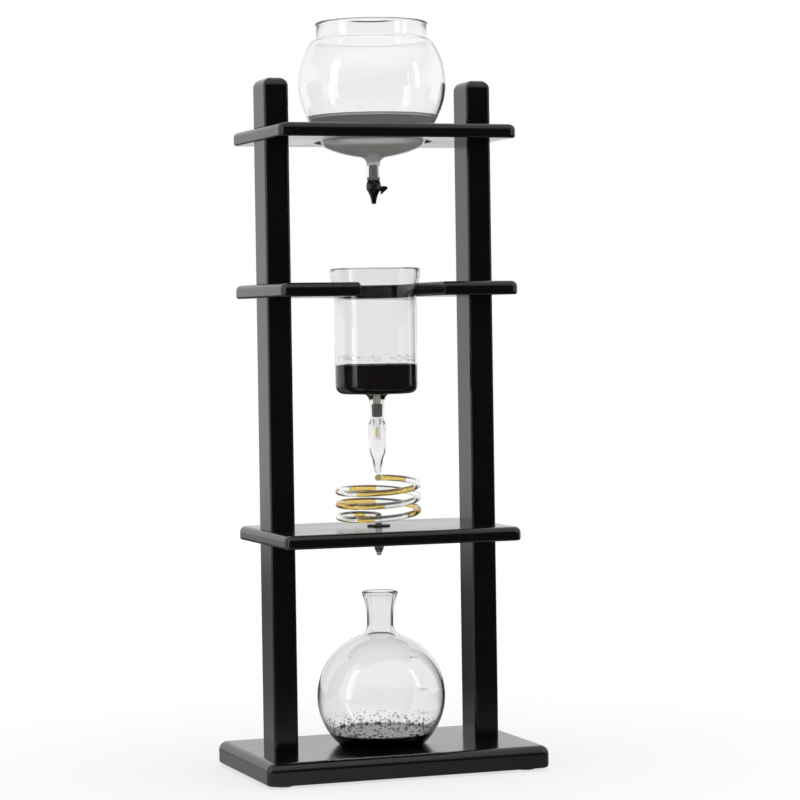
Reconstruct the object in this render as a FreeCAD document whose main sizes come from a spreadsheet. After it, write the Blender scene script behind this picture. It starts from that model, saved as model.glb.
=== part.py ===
import FreeCAD, Part
import math
import operator
import os

import Sketcher
from FreeCAD import Placement, Rotation, Vector

# Cold drip coffee tower, in millimetres. +Z is up, +X the right-hand side, -Y the front.
# The origin is on the ground, under the middle of the base.

DIMENSIONS = {
    # feet and base board
    "foot_height": 2.0,
    "foot_radius": 9.0,
    "foot_inset": 19.0,
    "base_width": 278.5,
    "base_depth": 171.5,
    "base_thickness": 21.0,
    "base_roundover": 8.0,
    "base_under_edge": 3.0,
    "board_corner": 9.0,
    # shelves
    "shelf_width": 233.0,
    "shelf_depth": 159.0,
    "shelf_thickness": 13.0,
    "shelf_roundover": 5.5,
    "shelf_under_edge": 2.5,
    "seat_radius": 55.0,
    "seat_roundover": 3.0,
    "slot_radius": 41.0,
    "slot_edge": 2.0,
    "grommet_hole_radius": 8.0,
    # post sections, from the base up
    "post_width": 24.0,
    "post_depth": 38.5,
    "post_offset": 101.0,
    "post_edge": 3.5,
    "post_end_round": 8.0,
    "post_lower_length": 194.5,
    "post_middle_length": 218.75,
    "post_upper_length": 133.75,
    "post_top_length": 45.75,
    # tie rods, nuts, washers and dowels
    "rod_radius": 3.0,
    "rod_bore_radius": 3.5,
    "rod_grip": 26.0,
    "rod_end_gap": 2.0,
    "counterbore_radius": 9.5,
    "counterbore_depth": 8.0,
    "washer_radius": 8.0,
    "washer_thickness": 1.6,
    "nut_corner_radius": 5.8,
    "nut_height": 5.0,
    "insert_radius": 4.5,
    "insert_length": 12.0,
    "dowel_radius": 3.0,
    "dowel_offset": 12.0,
    "dowel_grip": 8.0,
    "close_gap": 0.1,
    "seat_gap": 0.3,
    # water globe
    "globe_radius": 70.0,
    "globe_wall": 2.4,
    "globe_neck_radius": 52.4,
    "globe_rim_height": 58.2,
    "globe_rim_bead": 1.6,
    "globe_neck_blend": 3.0,
    "globe_stem_radius": 6.5,
    "globe_stem_bore": 4.7,
    "globe_stem_drop": 88.3,
    "globe_stem_blend": 6.0,
    # valve
    "stopper_flange_radius": 6.3,
    "stopper_flange_height": 2.4,
    "stopper_plug_length": 11.0,
    "stopper_chamfer": 0.6,
    "stopper_taper": 0.3,
    "valve_radius": 7.0,
    "valve_length": 22.5,
    "valve_tip_radius": 2.2,
    "valve_tail_radius": 3.0,
    "valve_tail_rise": 1.0,
    "valve_tail_chamfer": 0.6,
    "valve_shoulder_radius": 5.6,
    "valve_shoulder_bend": 12.0,
    "valve_belly_high": 4.95,
    "valve_belly_low": 8.55,
    "valve_taper_bend": 27.0,
    "valve_duct_radius": 0.9,
    "key_drop": 8.3,
    "key_spindle_radius": 2.0,
    "key_fit": 0.05,
    "key_reach": 13.4,
    "key_thickness": 3.4,
    "key_spindle_set": 1.2,
    "blade_high": 2.6,
    "blade_low": 5.2,
    "blade_nose_high": 1.0,
    "blade_nose_low": 1.2,
    "blade_high_set": 1.6,
    "blade_low_set": 1.4,
    "blade_high_bend": 1.7,
    "blade_low_bend": 2.2,
    # brew chamber
    "chamber_drop": 105.25,
    "chamber_height": 119.3,
    "chamber_radius": 39.2,
    "chamber_wall": 2.2,
    "chamber_floor": 2.5,
    "chamber_corner": 8.0,
    "chamber_flare_start": 98.4,
    "chamber_flare_end": 111.4,
    "chamber_rim_radius": 42.85,
    "chamber_stem_radius": 7.3,
    "chamber_stem_bore": 5.3,
    "chamber_stem_floor": 23.0,
    "stem_root_blend": 7.0,
    "stem_mouth_round": 1.5,
    "stem_waist_radius": 6.6,
    "stem_waist_rise": 4.0,
    "stem_waist_bend": 6.0,
    "septum_thickness": 3.0,
    "bulb_radius": 8.2,
    "bulb_wall": 1.2,
    "bulb_length": 76.0,
    "bulb_tip_radius": 1.6,
    "bulb_tip_bore": 0.8,
    "bulb_tip_bend": 26.6,
    "bulb_taper_radius": 5.0,
    "bulb_taper_drop": 12.0,
    "bulb_taper_bore": 3.95,
    "bulb_taper_bore_drop": 11.4,
    "bulb_bend": 25.3,
    "bulb_under_tube": 6.0,
    "bulb_over_tube_end": 9.5,
    "bulb_shoulder_bend": 12.0,
    "bulb_neck_wall": 1.4,
    "drip_tube_radius": 3.6,
    "drip_tube_bore": 2.4,
    "drip_tube_end": 44.0,
    # filter
    "filter_radius": 32.0,
    "filter_height": 9.0,
    "filter_wall": 2.6,
    "filter_foot_round": 1.5,
    "filter_top_round": 3.0,
    "filter_inside_round": 1.0,
    "filter_stem_radius": 3.6,
    "filter_stem_bore": 1.6,
    "filter_stem_length": 25.0,
    "sleeve_length": 12.0,
    "sleeve_taper": 0.3,
    "sleeve_chamfer": 1.0,
    "sleeve_set": 0.5,
    # coil and its grommet
    "coil_radius": 38.0,
    "coil_tube_radius": 3.0,
    "coil_tube_bore": 1.9,
    "coil_pitch": 12.2,
    "coil_half_turns": 5,
    "coil_start_angle": -20.0,
    "coil_start_height": 40.0,
    "coil_inlet_height": 46.5,
    "coil_inlet_run": 5.0,
    "coil_outlet_height": 9.6,
    "coil_bend_radius": 6.6,
    "coil_tail_run": 7.0,
    "nozzle_top": 2.6,
    "nozzle_radius": 4.7,
    "nozzle_drop": 19.5,
    "nozzle_length": 27.5,
    "nozzle_tip_radius": 1.8,
    "nozzle_top_lip": 0.4,
    "nozzle_shoulder": 2.5,
    "nozzle_inside_drop": 4.0,
    "grommet_flange_radius": 11.0,
    "grommet_flange_height": 1.5,
    "grommet_length": 11.0,
    # serving flask
    "flask_radius": 61.0,
    "flask_wall": 2.0,
    "flask_centre": 45.5,
    "flask_foot_corner": 8.0,
    "flask_foot_rise": 2.0,
    "flask_foot_ring": 30.0,
    "flask_neck_radius": 13.25,
    "flask_neck_blend": 10.0,
    "flask_flare_height": 135.5,
    "flask_height": 146.0,
    "flask_lip_radius": 17.0,
    "flask_lip_set": 0.4,
    "flask_flare_bend": 11.0,
    "flask_flare_inside_bend": 14.0,
    "flask_lip_bead": 1.6,
}

OPERATIONS = {"+": operator.add, "-": operator.sub, "*": operator.mul, "/": operator.truediv}


class Size:
    """A length with its value now and the formula on the sheet that gives it."""

    def __init__(self, value, formula):
        self.value = value
        self.formula = formula

    def joined(self, sign, other, swapped=False):
        other = size_of(other)
        first, last = (other, self) if swapped else (self, other)
        value = OPERATIONS[sign](first.value, last.value)
        return Size(value, "(%s %s %s)" % (first.formula, sign, last.formula))

    def __add__(self, other):
        return self.joined("+", other)

    def __radd__(self, other):
        return self.joined("+", other, True)

    def __sub__(self, other):
        return self.joined("-", other)

    def __rsub__(self, other):
        return self.joined("-", other, True)

    def __mul__(self, other):
        return self.joined("*", other)

    def __rmul__(self, other):
        return self.joined("*", other, True)

    def __truediv__(self, other):
        return self.joined("/", other)

    def __neg__(self):
        return Size(-self.value, "(0 - %s)" % self.formula)


def size_of(number):
    return number if isinstance(number, Size) else Size(float(number), "(%r)" % float(number))


def root(square):
    return Size(math.sqrt(square.value), "sqrt(%s)" % square.formula)


class Dimensions:
    """The sheet's cells, read by their aliases."""

    def __init__(self, document):
        self.sheet = document.addObject("Spreadsheet::Sheet", "Dimensions")
        for row, (alias, value) in enumerate(DIMENSIONS.items(), 1):
            self.sheet.set("A%d" % row, alias.replace("_", " "))
            self.sheet.set("B%d" % row, str(value))
            self.sheet.setAlias("B%d" % row, alias)
        document.recompute()

    def __getattr__(self, alias):
        return Size(float(self.sheet.get(alias)), "Dimensions.%s" % alias)


doc = FreeCAD.newDocument("ColdDripTower")
dim = Dimensions(doc)
nodes = []


def bind(item, path, size):
    """Drives one property of an object by a formula on the sheet."""
    item.setExpression(path, size_of(size).formula)


def place(item, x=0.0, y=0.0, z=0.0):
    for axis, size in zip("xyz", (x, y, z)):
        bind(item, "Placement.Base.%s" % axis, size)


def name_node(item, label):
    item.Label = label
    nodes.append(item)
    return item


class Outline:
    """A closed outline of lines and arcs, drawn in a sketch with every size bound to the sheet."""

    def __init__(self, x, y):
        self.steps = []
        self.here = (size_of(x), size_of(y))

    def line(self, x, y):
        return self.step(x, y, None, 0)

    def arc(self, x, y, radius, turn):
        """An arc of less than a half circle, anticlockwise where turn is 1 and clockwise where it is -1."""
        return self.step(x, y, size_of(radius), turn)

    def step(self, x, y, radius, turn):
        there = (size_of(x), size_of(y))
        self.steps.append((self.here, there, radius, turn))
        self.here = there
        return self

    def draw(self, sketch):
        begin = sketch.GeometryCount
        ends = [1 if turn < 0 else 2 for _, _, _, turn in self.steps]
        for start, stop, radius, turn in self.steps:
            sketch.addGeometry(self.edge(start, stop, radius, turn), False)
        for number, (start, _, radius, _) in enumerate(self.steps):
            last = (number - 1) % len(self.steps)
            near_end = 3 - ends[number]
            join = Sketcher.Constraint("Coincident", begin + last, ends[last], begin + number, near_end)
            sketch.addConstraint(join)
            fix(sketch, "DistanceX", (-1, 1, begin + number, near_end), start[0])
            fix(sketch, "DistanceY", (-1, 1, begin + number, near_end), start[1])
            if radius is not None:
                fix(sketch, "Radius", (begin + number,), radius)

    @staticmethod
    def edge(start, stop, radius, turn):
        head = Vector(start[0].value, start[1].value, 0)
        tail = Vector(stop[0].value, stop[1].value, 0)
        if radius is None:
            return Part.LineSegment(head, tail)
        chord = tail - head
        rise = math.sqrt(max(radius.value ** 2 - (chord.Length / 2) ** 2, 0.0))
        side = Vector(-chord.y, chord.x, 0).normalize() * turn
        centre = (head + tail) * 0.5 + side * rise
        circle = Part.Circle(centre, Vector(0, 0, 1), radius.value)
        angles = [math.atan2(p.y - centre.y, p.x - centre.x) for p in (head, tail)]
        return Part.ArcOfCircle(circle, *(angles if turn > 0 else angles[::-1]))


def fix(sketch, kind, where, size):
    """Adds one dimension to a sketch, driven by the sheet."""
    size = size_of(size)
    index = sketch.addConstraint(Sketcher.Constraint(kind, *where, size.value))
    if "Dimensions" in size.formula:
        bind(sketch, "Constraints[%d]" % index, size)


def draw_circle(sketch, x, y, radius):
    x, y, radius = size_of(x), size_of(y), size_of(radius)
    circle = Part.Circle(Vector(x.value, y.value, 0), Vector(0, 0, 1), radius.value)
    index = sketch.addGeometry(circle, False)
    fix(sketch, "DistanceX", (-1, 1, index, 3), x)
    fix(sketch, "DistanceY", (-1, 1, index, 3), y)
    fix(sketch, "Radius", (index,), radius)


def new_body(label):
    body = doc.addObject("PartDesign::Body", label)
    return name_node(body, label)


def new_sketch(body, plane="XY_Plane", height=0.0):
    sketch = body.newObject("Sketcher::SketchObject", "Sketch")
    origin_planes = [f for f in body.Origin.OriginFeatures if f.Role == plane]
    sketch.AttachmentSupport = (origin_planes[0], [""])
    sketch.MapMode = "FlatFace"
    bind(sketch, "AttachmentOffset.Base.z", height)
    return sketch


def pad(body, sketch, length, centred=False):
    feature = body.newObject("PartDesign::Pad", "Pad")
    feature.Profile = sketch
    if centred:
        feature.Midplane = True
    bind(feature, "Length", length)
    doc.recompute()
    return feature


def pocket(body, sketch, depth, upward=False):
    """Cuts a sketch out of the body, down or up from its plane, and makes sure that it cut."""
    before = body.Shape.Volume
    feature = body.newObject("PartDesign::Pocket", "Pocket")
    feature.Profile = sketch
    feature.Reversed = upward
    bind(feature, "Length", depth)
    doc.recompute()
    if body.Shape.Volume >= before:
        raise RuntimeError("a pocket of %s cuts nothing" % body.Label)
    return feature


def revolve(body, outline):
    """Turns an outline of radius and height about the body's own Z axis."""
    sketch = new_sketch(body, "XZ_Plane")
    outline.draw(sketch)
    feature = body.newObject("PartDesign::Revolution", "Revolution")
    feature.Profile = sketch
    feature.ReferenceAxis = (sketch, ["V_Axis"])
    feature.Angle = 360
    doc.recompute()
    return feature


def round_edges(body, wanted, radius):
    """Rounds the edges of the body's last feature that the test picks."""
    last = body.Tip
    names = ["Edge%d" % n for n, edge in enumerate(last.Shape.Edges, 1) if wanted(edge)]
    feature = body.newObject("PartDesign::Fillet", "Fillet")
    feature.Base = (last, names)
    bind(feature, "Radius", radius)
    doc.recompute()
    return feature


def lies_at(height):
    """Picks the edges that lie flat at one height."""
    def wanted(edge):
        box = edge.BoundBox
        return abs(box.ZMin - height.value) < 0.01 and abs(box.ZMax - height.value) < 0.01
    return wanted


def rounded_rectangle(width, depth, corner):
    """A rectangle about the origin, anticlockwise, with round corners."""
    half_w, half_d = width / 2, depth / 2
    outline = Outline(corner - half_w, -half_d)
    outline.line(half_w - corner, -half_d).arc(half_w, corner - half_d, corner, 1)
    outline.line(half_w, half_d - corner).arc(half_w - corner, half_d, corner, 1)
    outline.line(corner - half_w, half_d).arc(-half_w, half_d - corner, corner, 1)
    return outline.line(-half_w, corner - half_d).arc(corner - half_w, -half_d, corner, 1)


# Heights of the boards, from the ground up.
base_bottom = dim.foot_height
base_top = base_bottom + dim.base_thickness
lower_bottom = base_top + dim.post_lower_length
lower_top = lower_bottom + dim.shelf_thickness
middle_bottom = lower_top + dim.post_middle_length
middle_top = middle_bottom + dim.shelf_thickness
upper_bottom = middle_top + dim.post_upper_length
upper_top = upper_bottom + dim.shelf_thickness
sides = {"left": -dim.post_offset, "right": dim.post_offset}
dowel_rows = (-dim.dowel_offset, dim.dowel_offset)
dowel_hole_radius = dim.dowel_radius + dim.close_gap

# The globe rests on the rounded edge of its seat.
seat_centre = upper_top - dim.seat_roundover
seat_reach = dim.globe_radius + dim.seat_roundover + dim.seat_gap
seat_across = dim.seat_radius + dim.seat_roundover
globe_centre = seat_centre + root(seat_reach * seat_reach - seat_across * seat_across)
stem_end_height = globe_centre - dim.globe_stem_drop
valve_shoulder = stem_end_height - dim.stopper_flange_height - dim.close_gap
key_height = valve_shoulder - dim.key_drop

# The chamber hangs in the slot of the middle shelf by its flare.
chamber_bottom = middle_top - dim.chamber_drop
filter_floor = chamber_bottom + dim.chamber_floor + dim.close_gap


def board(label, width, depth, thickness, roundover, under_edge, height):
    """A lacquered board with a soft top edge, bored for the tie rods."""
    body = new_body(label)
    sketch = new_sketch(body)
    rounded_rectangle(width, depth, dim.board_corner).draw(sketch)
    pad(body, sketch, thickness)
    round_edges(body, lies_at(thickness), roundover)
    round_edges(body, lies_at(size_of(0)), under_edge)
    bores = new_sketch(body, height=thickness)
    for x in sides.values():
        draw_circle(bores, x, 0, dim.rod_bore_radius)
    pocket(body, bores, thickness)
    place(body, z=height)
    return body


def dowel_holes(body, height, depth, upward=False, columns=(0.0,)):
    sketch = new_sketch(body, height=height)
    for x in columns:
        for y in dowel_rows:
            draw_circle(sketch, x, y, dowel_hole_radius)
    pocket(body, sketch, depth, upward)


def make_base():
    body = board("base_board", dim.base_width, dim.base_depth, dim.base_thickness,
                 dim.base_roundover, dim.base_under_edge, base_bottom)
    recess = new_sketch(body)
    for x in sides.values():
        draw_circle(recess, x, 0, dim.counterbore_radius)
    pocket(body, recess, dim.counterbore_depth, upward=True)
    dowel_holes(body, dim.base_thickness, dim.dowel_grip, columns=sides.values())


def shelf(label, height):
    body = board(label, dim.shelf_width, dim.shelf_depth, dim.shelf_thickness,
                 dim.shelf_roundover, dim.shelf_under_edge, height)
    dowel_holes(body, dim.shelf_thickness, dim.shelf_thickness, columns=sides.values())
    return body


def make_lower_shelf():
    body = shelf("lower_shelf", lower_bottom)
    hole = new_sketch(body, height=dim.shelf_thickness)
    draw_circle(hole, 0, 0, dim.grommet_hole_radius)
    pocket(body, hole, dim.shelf_thickness)


def make_middle_shelf():
    """The slot is open to the front, so that the chamber hangs in it and draws out."""
    body = shelf("middle_shelf", middle_bottom)
    slot = new_sketch(body, height=dim.shelf_thickness)
    reach = dim.slot_radius
    front = -dim.shelf_depth / 2 - dim.board_corner
    outline = Outline(-reach, front).line(reach, front).line(reach, 0)
    outline.arc(0, reach, reach, 1).arc(-reach, 0, reach, 1).line(-reach, front).draw(slot)
    pocket(body, slot, dim.shelf_thickness)
    top = dim.shelf_thickness.value

    def wanted(edge):
        box = edge.BoundBox
        flat = box.ZLength < 0.01 and (abs(box.ZMin) < 0.01 or abs(box.ZMin - top) < 0.01)
        inside = max(abs(box.XMin), abs(box.XMax)) < reach.value + 0.01
        return flat and inside and box.YLength > reach.value - 0.01
    round_edges(body, wanted, dim.slot_edge)


def make_top_shelf():
    body = shelf("top_shelf", upper_bottom)
    seat = new_sketch(body, height=dim.shelf_thickness)
    draw_circle(seat, 0, 0, dim.seat_radius)
    pocket(body, seat, dim.shelf_thickness)

    def wanted(edge):
        round_edge = isinstance(edge.Curve, Part.Circle)
        return round_edge and abs(edge.Curve.Radius - dim.seat_radius.value) < 0.01
    round_edges(body, wanted, dim.seat_roundover)


def post_section(label, x, bottom, length):
    """A length of post between two boards, bored through for the tie rod."""
    body = new_body(label)
    sketch = new_sketch(body)
    rounded_rectangle(dim.post_width, dim.post_depth, dim.post_edge).draw(sketch)
    draw_circle(sketch, 0, 0, dim.rod_bore_radius)
    pad(body, sketch, length)
    dowel_holes(body, 0, dim.dowel_grip, upward=True)
    dowel_holes(body, length, dim.dowel_grip)
    place(body, x=x, z=bottom)


def post_top(label, x):
    """The short section over the top shelf: a rounded end, and a blind bore for the rod's insert."""
    body = new_body(label)
    half_w, half_d = dim.post_width / 2, dim.post_depth / 2
    sketch = new_sketch(body)
    outline = Outline(-half_w, -half_d).line(half_w, -half_d).line(half_w, half_d)
    outline.line(-half_w, half_d).line(-half_w, -half_d).draw(sketch)
    pad(body, sketch, dim.post_top_length)
    round_edges(body, lies_at(dim.post_top_length), dim.post_end_round)
    round_edges(body, lambda edge: edge.BoundBox.ZLength > dim.post_end_round.value, dim.post_edge)
    blind_bore(body, dim.rod_bore_radius, dim.rod_grip + dim.rod_end_gap)
    blind_bore(body, dim.insert_radius + dim.close_gap, dim.insert_length)
    dowel_holes(body, 0, dim.dowel_grip, upward=True)
    place(body, x=x, z=upper_top)


def blind_bore(body, radius, depth):
    sketch = new_sketch(body)
    draw_circle(sketch, 0, 0, radius)
    pocket(body, sketch, depth, upward=True)


def cylinder(name, x, y, z, radius, height):
    item = doc.addObject("Part::Cylinder", name)
    bind(item, "Radius", radius)
    bind(item, "Height", height)
    place(item, x, y, z)
    return item


def cut(name, base, tool):
    item = doc.addObject("Part::Cut", name)
    item.Base = base
    item.Tool = tool
    return item


def group(label, items):
    """Identical pieces as one node of separate solids."""
    compound = doc.addObject("Part::Compound", label)
    compound.Links = items
    return name_node(compound, label)


def make_feet():
    across = dim.base_width / 2 - dim.foot_inset
    along = dim.base_depth / 2 - dim.foot_inset
    corners = [(across, along), (-across, along), (-across, -along), (across, -along)]
    group("foot_pads", [cylinder("foot", x, y, 0, dim.foot_radius, dim.foot_height) for x, y in corners])


def make_fasteners():
    """One rod down each side clamps the boards and posts between a hidden nut and an insert."""
    ceiling = base_bottom + dim.counterbore_depth
    washer_bottom = ceiling - dim.washer_thickness
    nut_bottom = washer_bottom - dim.nut_height
    rod_length = upper_top + dim.rod_grip - nut_bottom
    hole = dim.rod_radius + dim.close_gap
    rods, washers, nuts, inserts = [], [], [], []
    for x in sides.values():
        rods.append(cylinder("rod", x, 0, nut_bottom, dim.rod_radius, rod_length))
        disc = cylinder("washer_disc", x, 0, washer_bottom, dim.washer_radius, dim.washer_thickness)
        eye = cylinder("washer_eye", x, 0, washer_bottom, hole, dim.washer_thickness)
        washers.append(cut("washer", disc, eye))
        hexagon = doc.addObject("Part::Prism", "nut_hexagon")
        hexagon.Polygon = 6
        bind(hexagon, "Circumradius", dim.nut_corner_radius)
        bind(hexagon, "Height", dim.nut_height)
        place(hexagon, x, 0, nut_bottom)
        thread = cylinder("nut_thread", x, 0, nut_bottom, hole, dim.nut_height)
        nuts.append(cut("nut", hexagon, thread))
        shell = cylinder("insert_shell", x, 0, upper_top, dim.insert_radius, dim.insert_length)
        thread = cylinder("insert_thread", x, 0, upper_top, hole, dim.insert_length)
        inserts.append(cut("insert", shell, thread))
    group("tie_rods", rods)
    group("rod_washers", washers)
    group("rod_nuts", nuts)
    group("post_inserts", inserts)


def make_dowels():
    """Two dowels at each joint of a post keep the sections square to the boards."""
    gap, grip = dim.close_gap, dim.dowel_grip
    shelf_length = dim.shelf_thickness + grip * 2 - gap * 2
    base_length = grip * 2 - gap * 2
    joints = [(x, y) for x in sides.values() for y in dowel_rows]
    through, short = [], []
    for x, y in joints:
        for bottom in (lower_bottom, middle_bottom, upper_bottom):
            start = bottom - grip + gap
            through.append(cylinder("shelf_dowel", x, y, start, dim.dowel_radius, shelf_length))
        short.append(cylinder("base_dowel", x, y, base_top - grip + gap, dim.dowel_radius, base_length))
    group("shelf_dowels", through)
    group("base_dowels", short)


def blend(tube, ball, fillet, side):
    """Where a fillet between a tube on the axis and a ball at the origin leaves each of them.

    side is 1 over the ball and -1 under it. Gives the height on the tube, then radius and height on the ball.
    """
    across = tube + fillet
    reach = ball + fillet
    height = root(reach * reach - across * across)
    share = ball / reach
    return height * side, across * share, height * share * side


def make_globe():
    """A blown ball that hangs through the top shelf, with a wide neck over it and a stem under it."""
    body = new_body("water_globe")
    ball, wall = dim.globe_radius, dim.globe_wall
    neck, stem, bore_radius = dim.globe_neck_radius, dim.globe_stem_radius, dim.globe_stem_bore
    stem_end, rim, bead = -dim.globe_stem_drop, dim.globe_rim_height, dim.globe_rim_bead
    inner_neck = neck - wall
    inner_ball = ball - wall
    stem_blend, neck_blend = dim.globe_stem_blend, dim.globe_neck_blend
    out_stem, out_low_r, out_low_z = blend(stem, ball, stem_blend, -1)
    out_neck, out_top_r, out_top_z = blend(neck, ball, neck_blend, 1)
    in_stem, in_low_r, in_low_z = blend(bore_radius, inner_ball, stem_blend - wall, -1)
    in_neck, in_top_r, in_top_z = blend(inner_neck, inner_ball, neck_blend, 1)
    outline = Outline(bore_radius, stem_end).line(stem, stem_end).line(stem, out_stem)
    outline.arc(out_low_r, out_low_z, stem_blend, -1).arc(ball, 0, ball, 1)
    outline.arc(out_top_r, out_top_z, ball, 1).arc(neck, out_neck, neck_blend, -1)
    outline.line(neck, rim - bead * 2).arc(neck, rim, bead * 1.02, 1)
    outline.arc(inner_neck, rim - bead, bead * 1.6, 1).line(inner_neck, in_neck)
    outline.arc(in_top_r, in_top_z, neck_blend, 1).arc(inner_ball, 0, inner_ball, -1)
    outline.arc(in_low_r, in_low_z, inner_ball, -1).arc(bore_radius, in_stem, stem_blend - wall, 1)
    revolve(body, outline.line(bore_radius, stem_end))
    place(body, z=globe_centre)


def make_stopper():
    """The silicone stopper that holds the valve in the globe's stem."""
    body = new_body("valve_stopper")
    bore_radius = dim.valve_tail_radius + dim.close_gap
    plug = dim.globe_stem_bore - dim.close_gap
    flange, thick = dim.stopper_flange_radius, dim.stopper_flange_height
    chamfer, end = dim.stopper_chamfer, thick + dim.stopper_plug_length
    outline = Outline(bore_radius, 0).line(flange - chamfer, 0).line(flange, chamfer).line(flange, thick)
    outline.line(plug, thick).line(plug - dim.stopper_taper, end).line(bore_radius, end).line(bore_radius, 0)
    revolve(body, outline)
    place(body, z=valve_shoulder)


def make_valve_body():
    """A turned drop of metal: a tail up into the stopper, a belly round the key, a fine tip."""
    body = new_body("valve_body")
    belly, tip, tail = dim.valve_radius, dim.valve_tip_radius, dim.valve_tail_radius
    duct, length = dim.valve_duct_radius, dim.valve_length
    top = dim.stopper_flange_height + dim.stopper_plug_length + dim.valve_tail_rise
    chamfer = dim.valve_tail_chamfer
    outline = Outline(duct, -length).line(tip, -length).arc(belly, -dim.valve_belly_low, dim.valve_taper_bend, -1)
    outline.line(belly, -dim.valve_belly_high).arc(dim.valve_shoulder_radius, 0, dim.valve_shoulder_bend, 1)
    outline.line(tail, 0).line(tail, top - chamfer).line(tail - chamfer, top).line(duct, top)
    revolve(body, outline.line(duct, -length))
    cross = new_sketch(body, "YZ_Plane", belly + 1)
    draw_circle(cross, 0, -dim.key_drop, dim.key_spindle_radius + dim.key_fit)
    pocket(body, cross, belly * 2)
    place(body, z=valve_shoulder)


def make_key():
    """The tap's key: a spindle across the valve and a wedge-shaped blade for the fingertips."""
    body = new_body("valve_key")
    spindle, reach = dim.key_spindle_radius, dim.key_reach
    start = dim.valve_radius + dim.seat_gap
    sketch = new_sketch(body, "XZ_Plane")
    far = dim.key_spindle_set - dim.valve_radius
    outline = Outline(far, 0).line(start + 1, 0).line(start + 1, spindle)
    outline.line(far, spindle).line(far, 0).draw(sketch)
    rod = body.newObject("PartDesign::Revolution", "Spindle")
    rod.Profile = sketch
    rod.ReferenceAxis = (sketch, ["H_Axis"])
    rod.Angle = 360
    doc.recompute()
    blade = new_sketch(body, "XZ_Plane")
    high, low = dim.blade_high, -dim.blade_low
    outline = Outline(start, low).line(reach - dim.blade_low_set, -dim.blade_nose_low)
    outline.arc(reach, dim.blade_nose_high, dim.blade_low_bend, 1)
    outline.arc(reach - dim.blade_high_set, high, dim.blade_high_bend, 1)
    outline.line(start, high).line(start, low).draw(blade)
    pad(body, blade, dim.key_thickness, centred=True)
    place(body, z=key_height)


def make_chamber():
    """The glass chamber, with a drip tube inside a sight bulb blown onto its stem."""
    body = new_body("brew_chamber")
    shell, wall, floor = dim.chamber_radius, dim.chamber_wall, dim.chamber_floor
    corner, rim, top = dim.chamber_corner, dim.chamber_rim_radius, dim.chamber_height
    flare_low, flare_high = dim.chamber_flare_start, dim.chamber_flare_end
    stem, stem_bore, stem_floor = dim.chamber_stem_radius, dim.chamber_stem_bore, -dim.chamber_stem_floor
    bulb, thin, tip_end = dim.bulb_radius, dim.bulb_wall, -dim.bulb_length
    tube, tube_bore, tube_end = dim.drip_tube_radius, dim.drip_tube_bore, -dim.drip_tube_end
    tip, inner, bead = dim.bulb_tip_radius, shell - wall, dim.globe_rim_bead
    waist, septum, root_blend = dim.stem_waist_radius, stem_floor - dim.septum_thickness, dim.stem_root_blend
    bulb_low, bulb_high = tube_end - dim.bulb_under_tube, tube_end + dim.bulb_over_tube_end
    taper_low, mouth = bulb_low - dim.bulb_taper_drop, dim.stem_mouth_round
    outline = Outline(dim.bulb_tip_bore, tip_end).line(tip, tip_end)
    outline.arc(dim.bulb_taper_radius, taper_low, dim.bulb_tip_bend, 1).arc(bulb, bulb_low, dim.bulb_bend, 1)
    outline.line(bulb, bulb_high).arc(stem, septum - 1, dim.bulb_shoulder_bend, 1)
    outline.arc(waist, stem_floor, dim.stem_waist_bend, -1).line(waist, stem_floor + dim.stem_waist_rise)
    outline.line(stem, -root_blend).arc(stem + root_blend, 0, root_blend, -1)
    outline.line(shell - corner, 0).arc(shell, corner, corner, 1).line(shell, flare_low)
    outline.line(rim, flare_high).line(rim, top - bead).arc(rim - bead, top, bead, 1)
    outline.arc(rim - bead * 2, top - bead, bead, 1).line(rim - bead * 2, flare_high)
    outline.line(inner, flare_low).line(inner, floor + corner - wall)
    outline.arc(shell - corner, floor, corner - wall, -1)
    outline.line(stem_bore + mouth, floor).arc(stem_bore, floor - mouth, mouth, 1)
    outline.line(stem_bore, stem_floor).line(tube_bore, stem_floor).line(tube_bore, tube_end)
    outline.line(tube, tube_end).line(tube, septum).line(waist - dim.bulb_neck_wall, septum)
    outline.line(bulb - thin, bulb_high - 1).line(bulb - thin, bulb_low)
    outline.arc(dim.bulb_taper_bore, bulb_low - dim.bulb_taper_bore_drop, dim.bulb_bend - thin, -1)
    outline.line(dim.bulb_tip_bore, tip_end)
    revolve(body, outline)
    place(body, z=chamber_bottom)


def make_filter():
    """A hollow disc of porous ceramic on a drain stem, with a rubber sleeve that plugs the chamber."""
    body = new_body("ceramic_filter")
    disc, high, wall = dim.filter_radius, dim.filter_height, dim.filter_wall
    stem, duct, length = dim.filter_stem_radius, dim.filter_stem_bore, -dim.filter_stem_length
    foot, crown, inside = dim.filter_foot_round, dim.filter_top_round, dim.filter_inside_round
    outline = Outline(duct, length).line(stem, length).line(stem, 0).line(disc - foot, 0)
    outline.arc(disc, foot, foot, 1).line(disc, high - crown).arc(disc - crown, high, crown, 1)
    outline.line(0, high).line(0, high - wall).line(disc - wall - inside, high - wall)
    outline.arc(disc - wall, high - wall - inside, inside, -1).line(disc - wall, wall).line(duct, wall)
    revolve(body, outline.line(duct, length))
    place(body, z=filter_floor)
    sleeve = new_body("filter_sleeve")
    hole, outer = stem + dim.close_gap, dim.chamber_stem_bore - dim.close_gap * 1.5
    taper, high = dim.sleeve_taper, dim.sleeve_length
    outline = Outline(hole, 0).line(outer - taper, 0).line(outer, high - dim.sleeve_chamfer)
    outline.line(outer - taper, high)
    revolve(sleeve, outline.line(hole, high).line(hole, 0))
    place(sleeve, z=filter_floor - dim.filter_stem_length + dim.sleeve_set)


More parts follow.
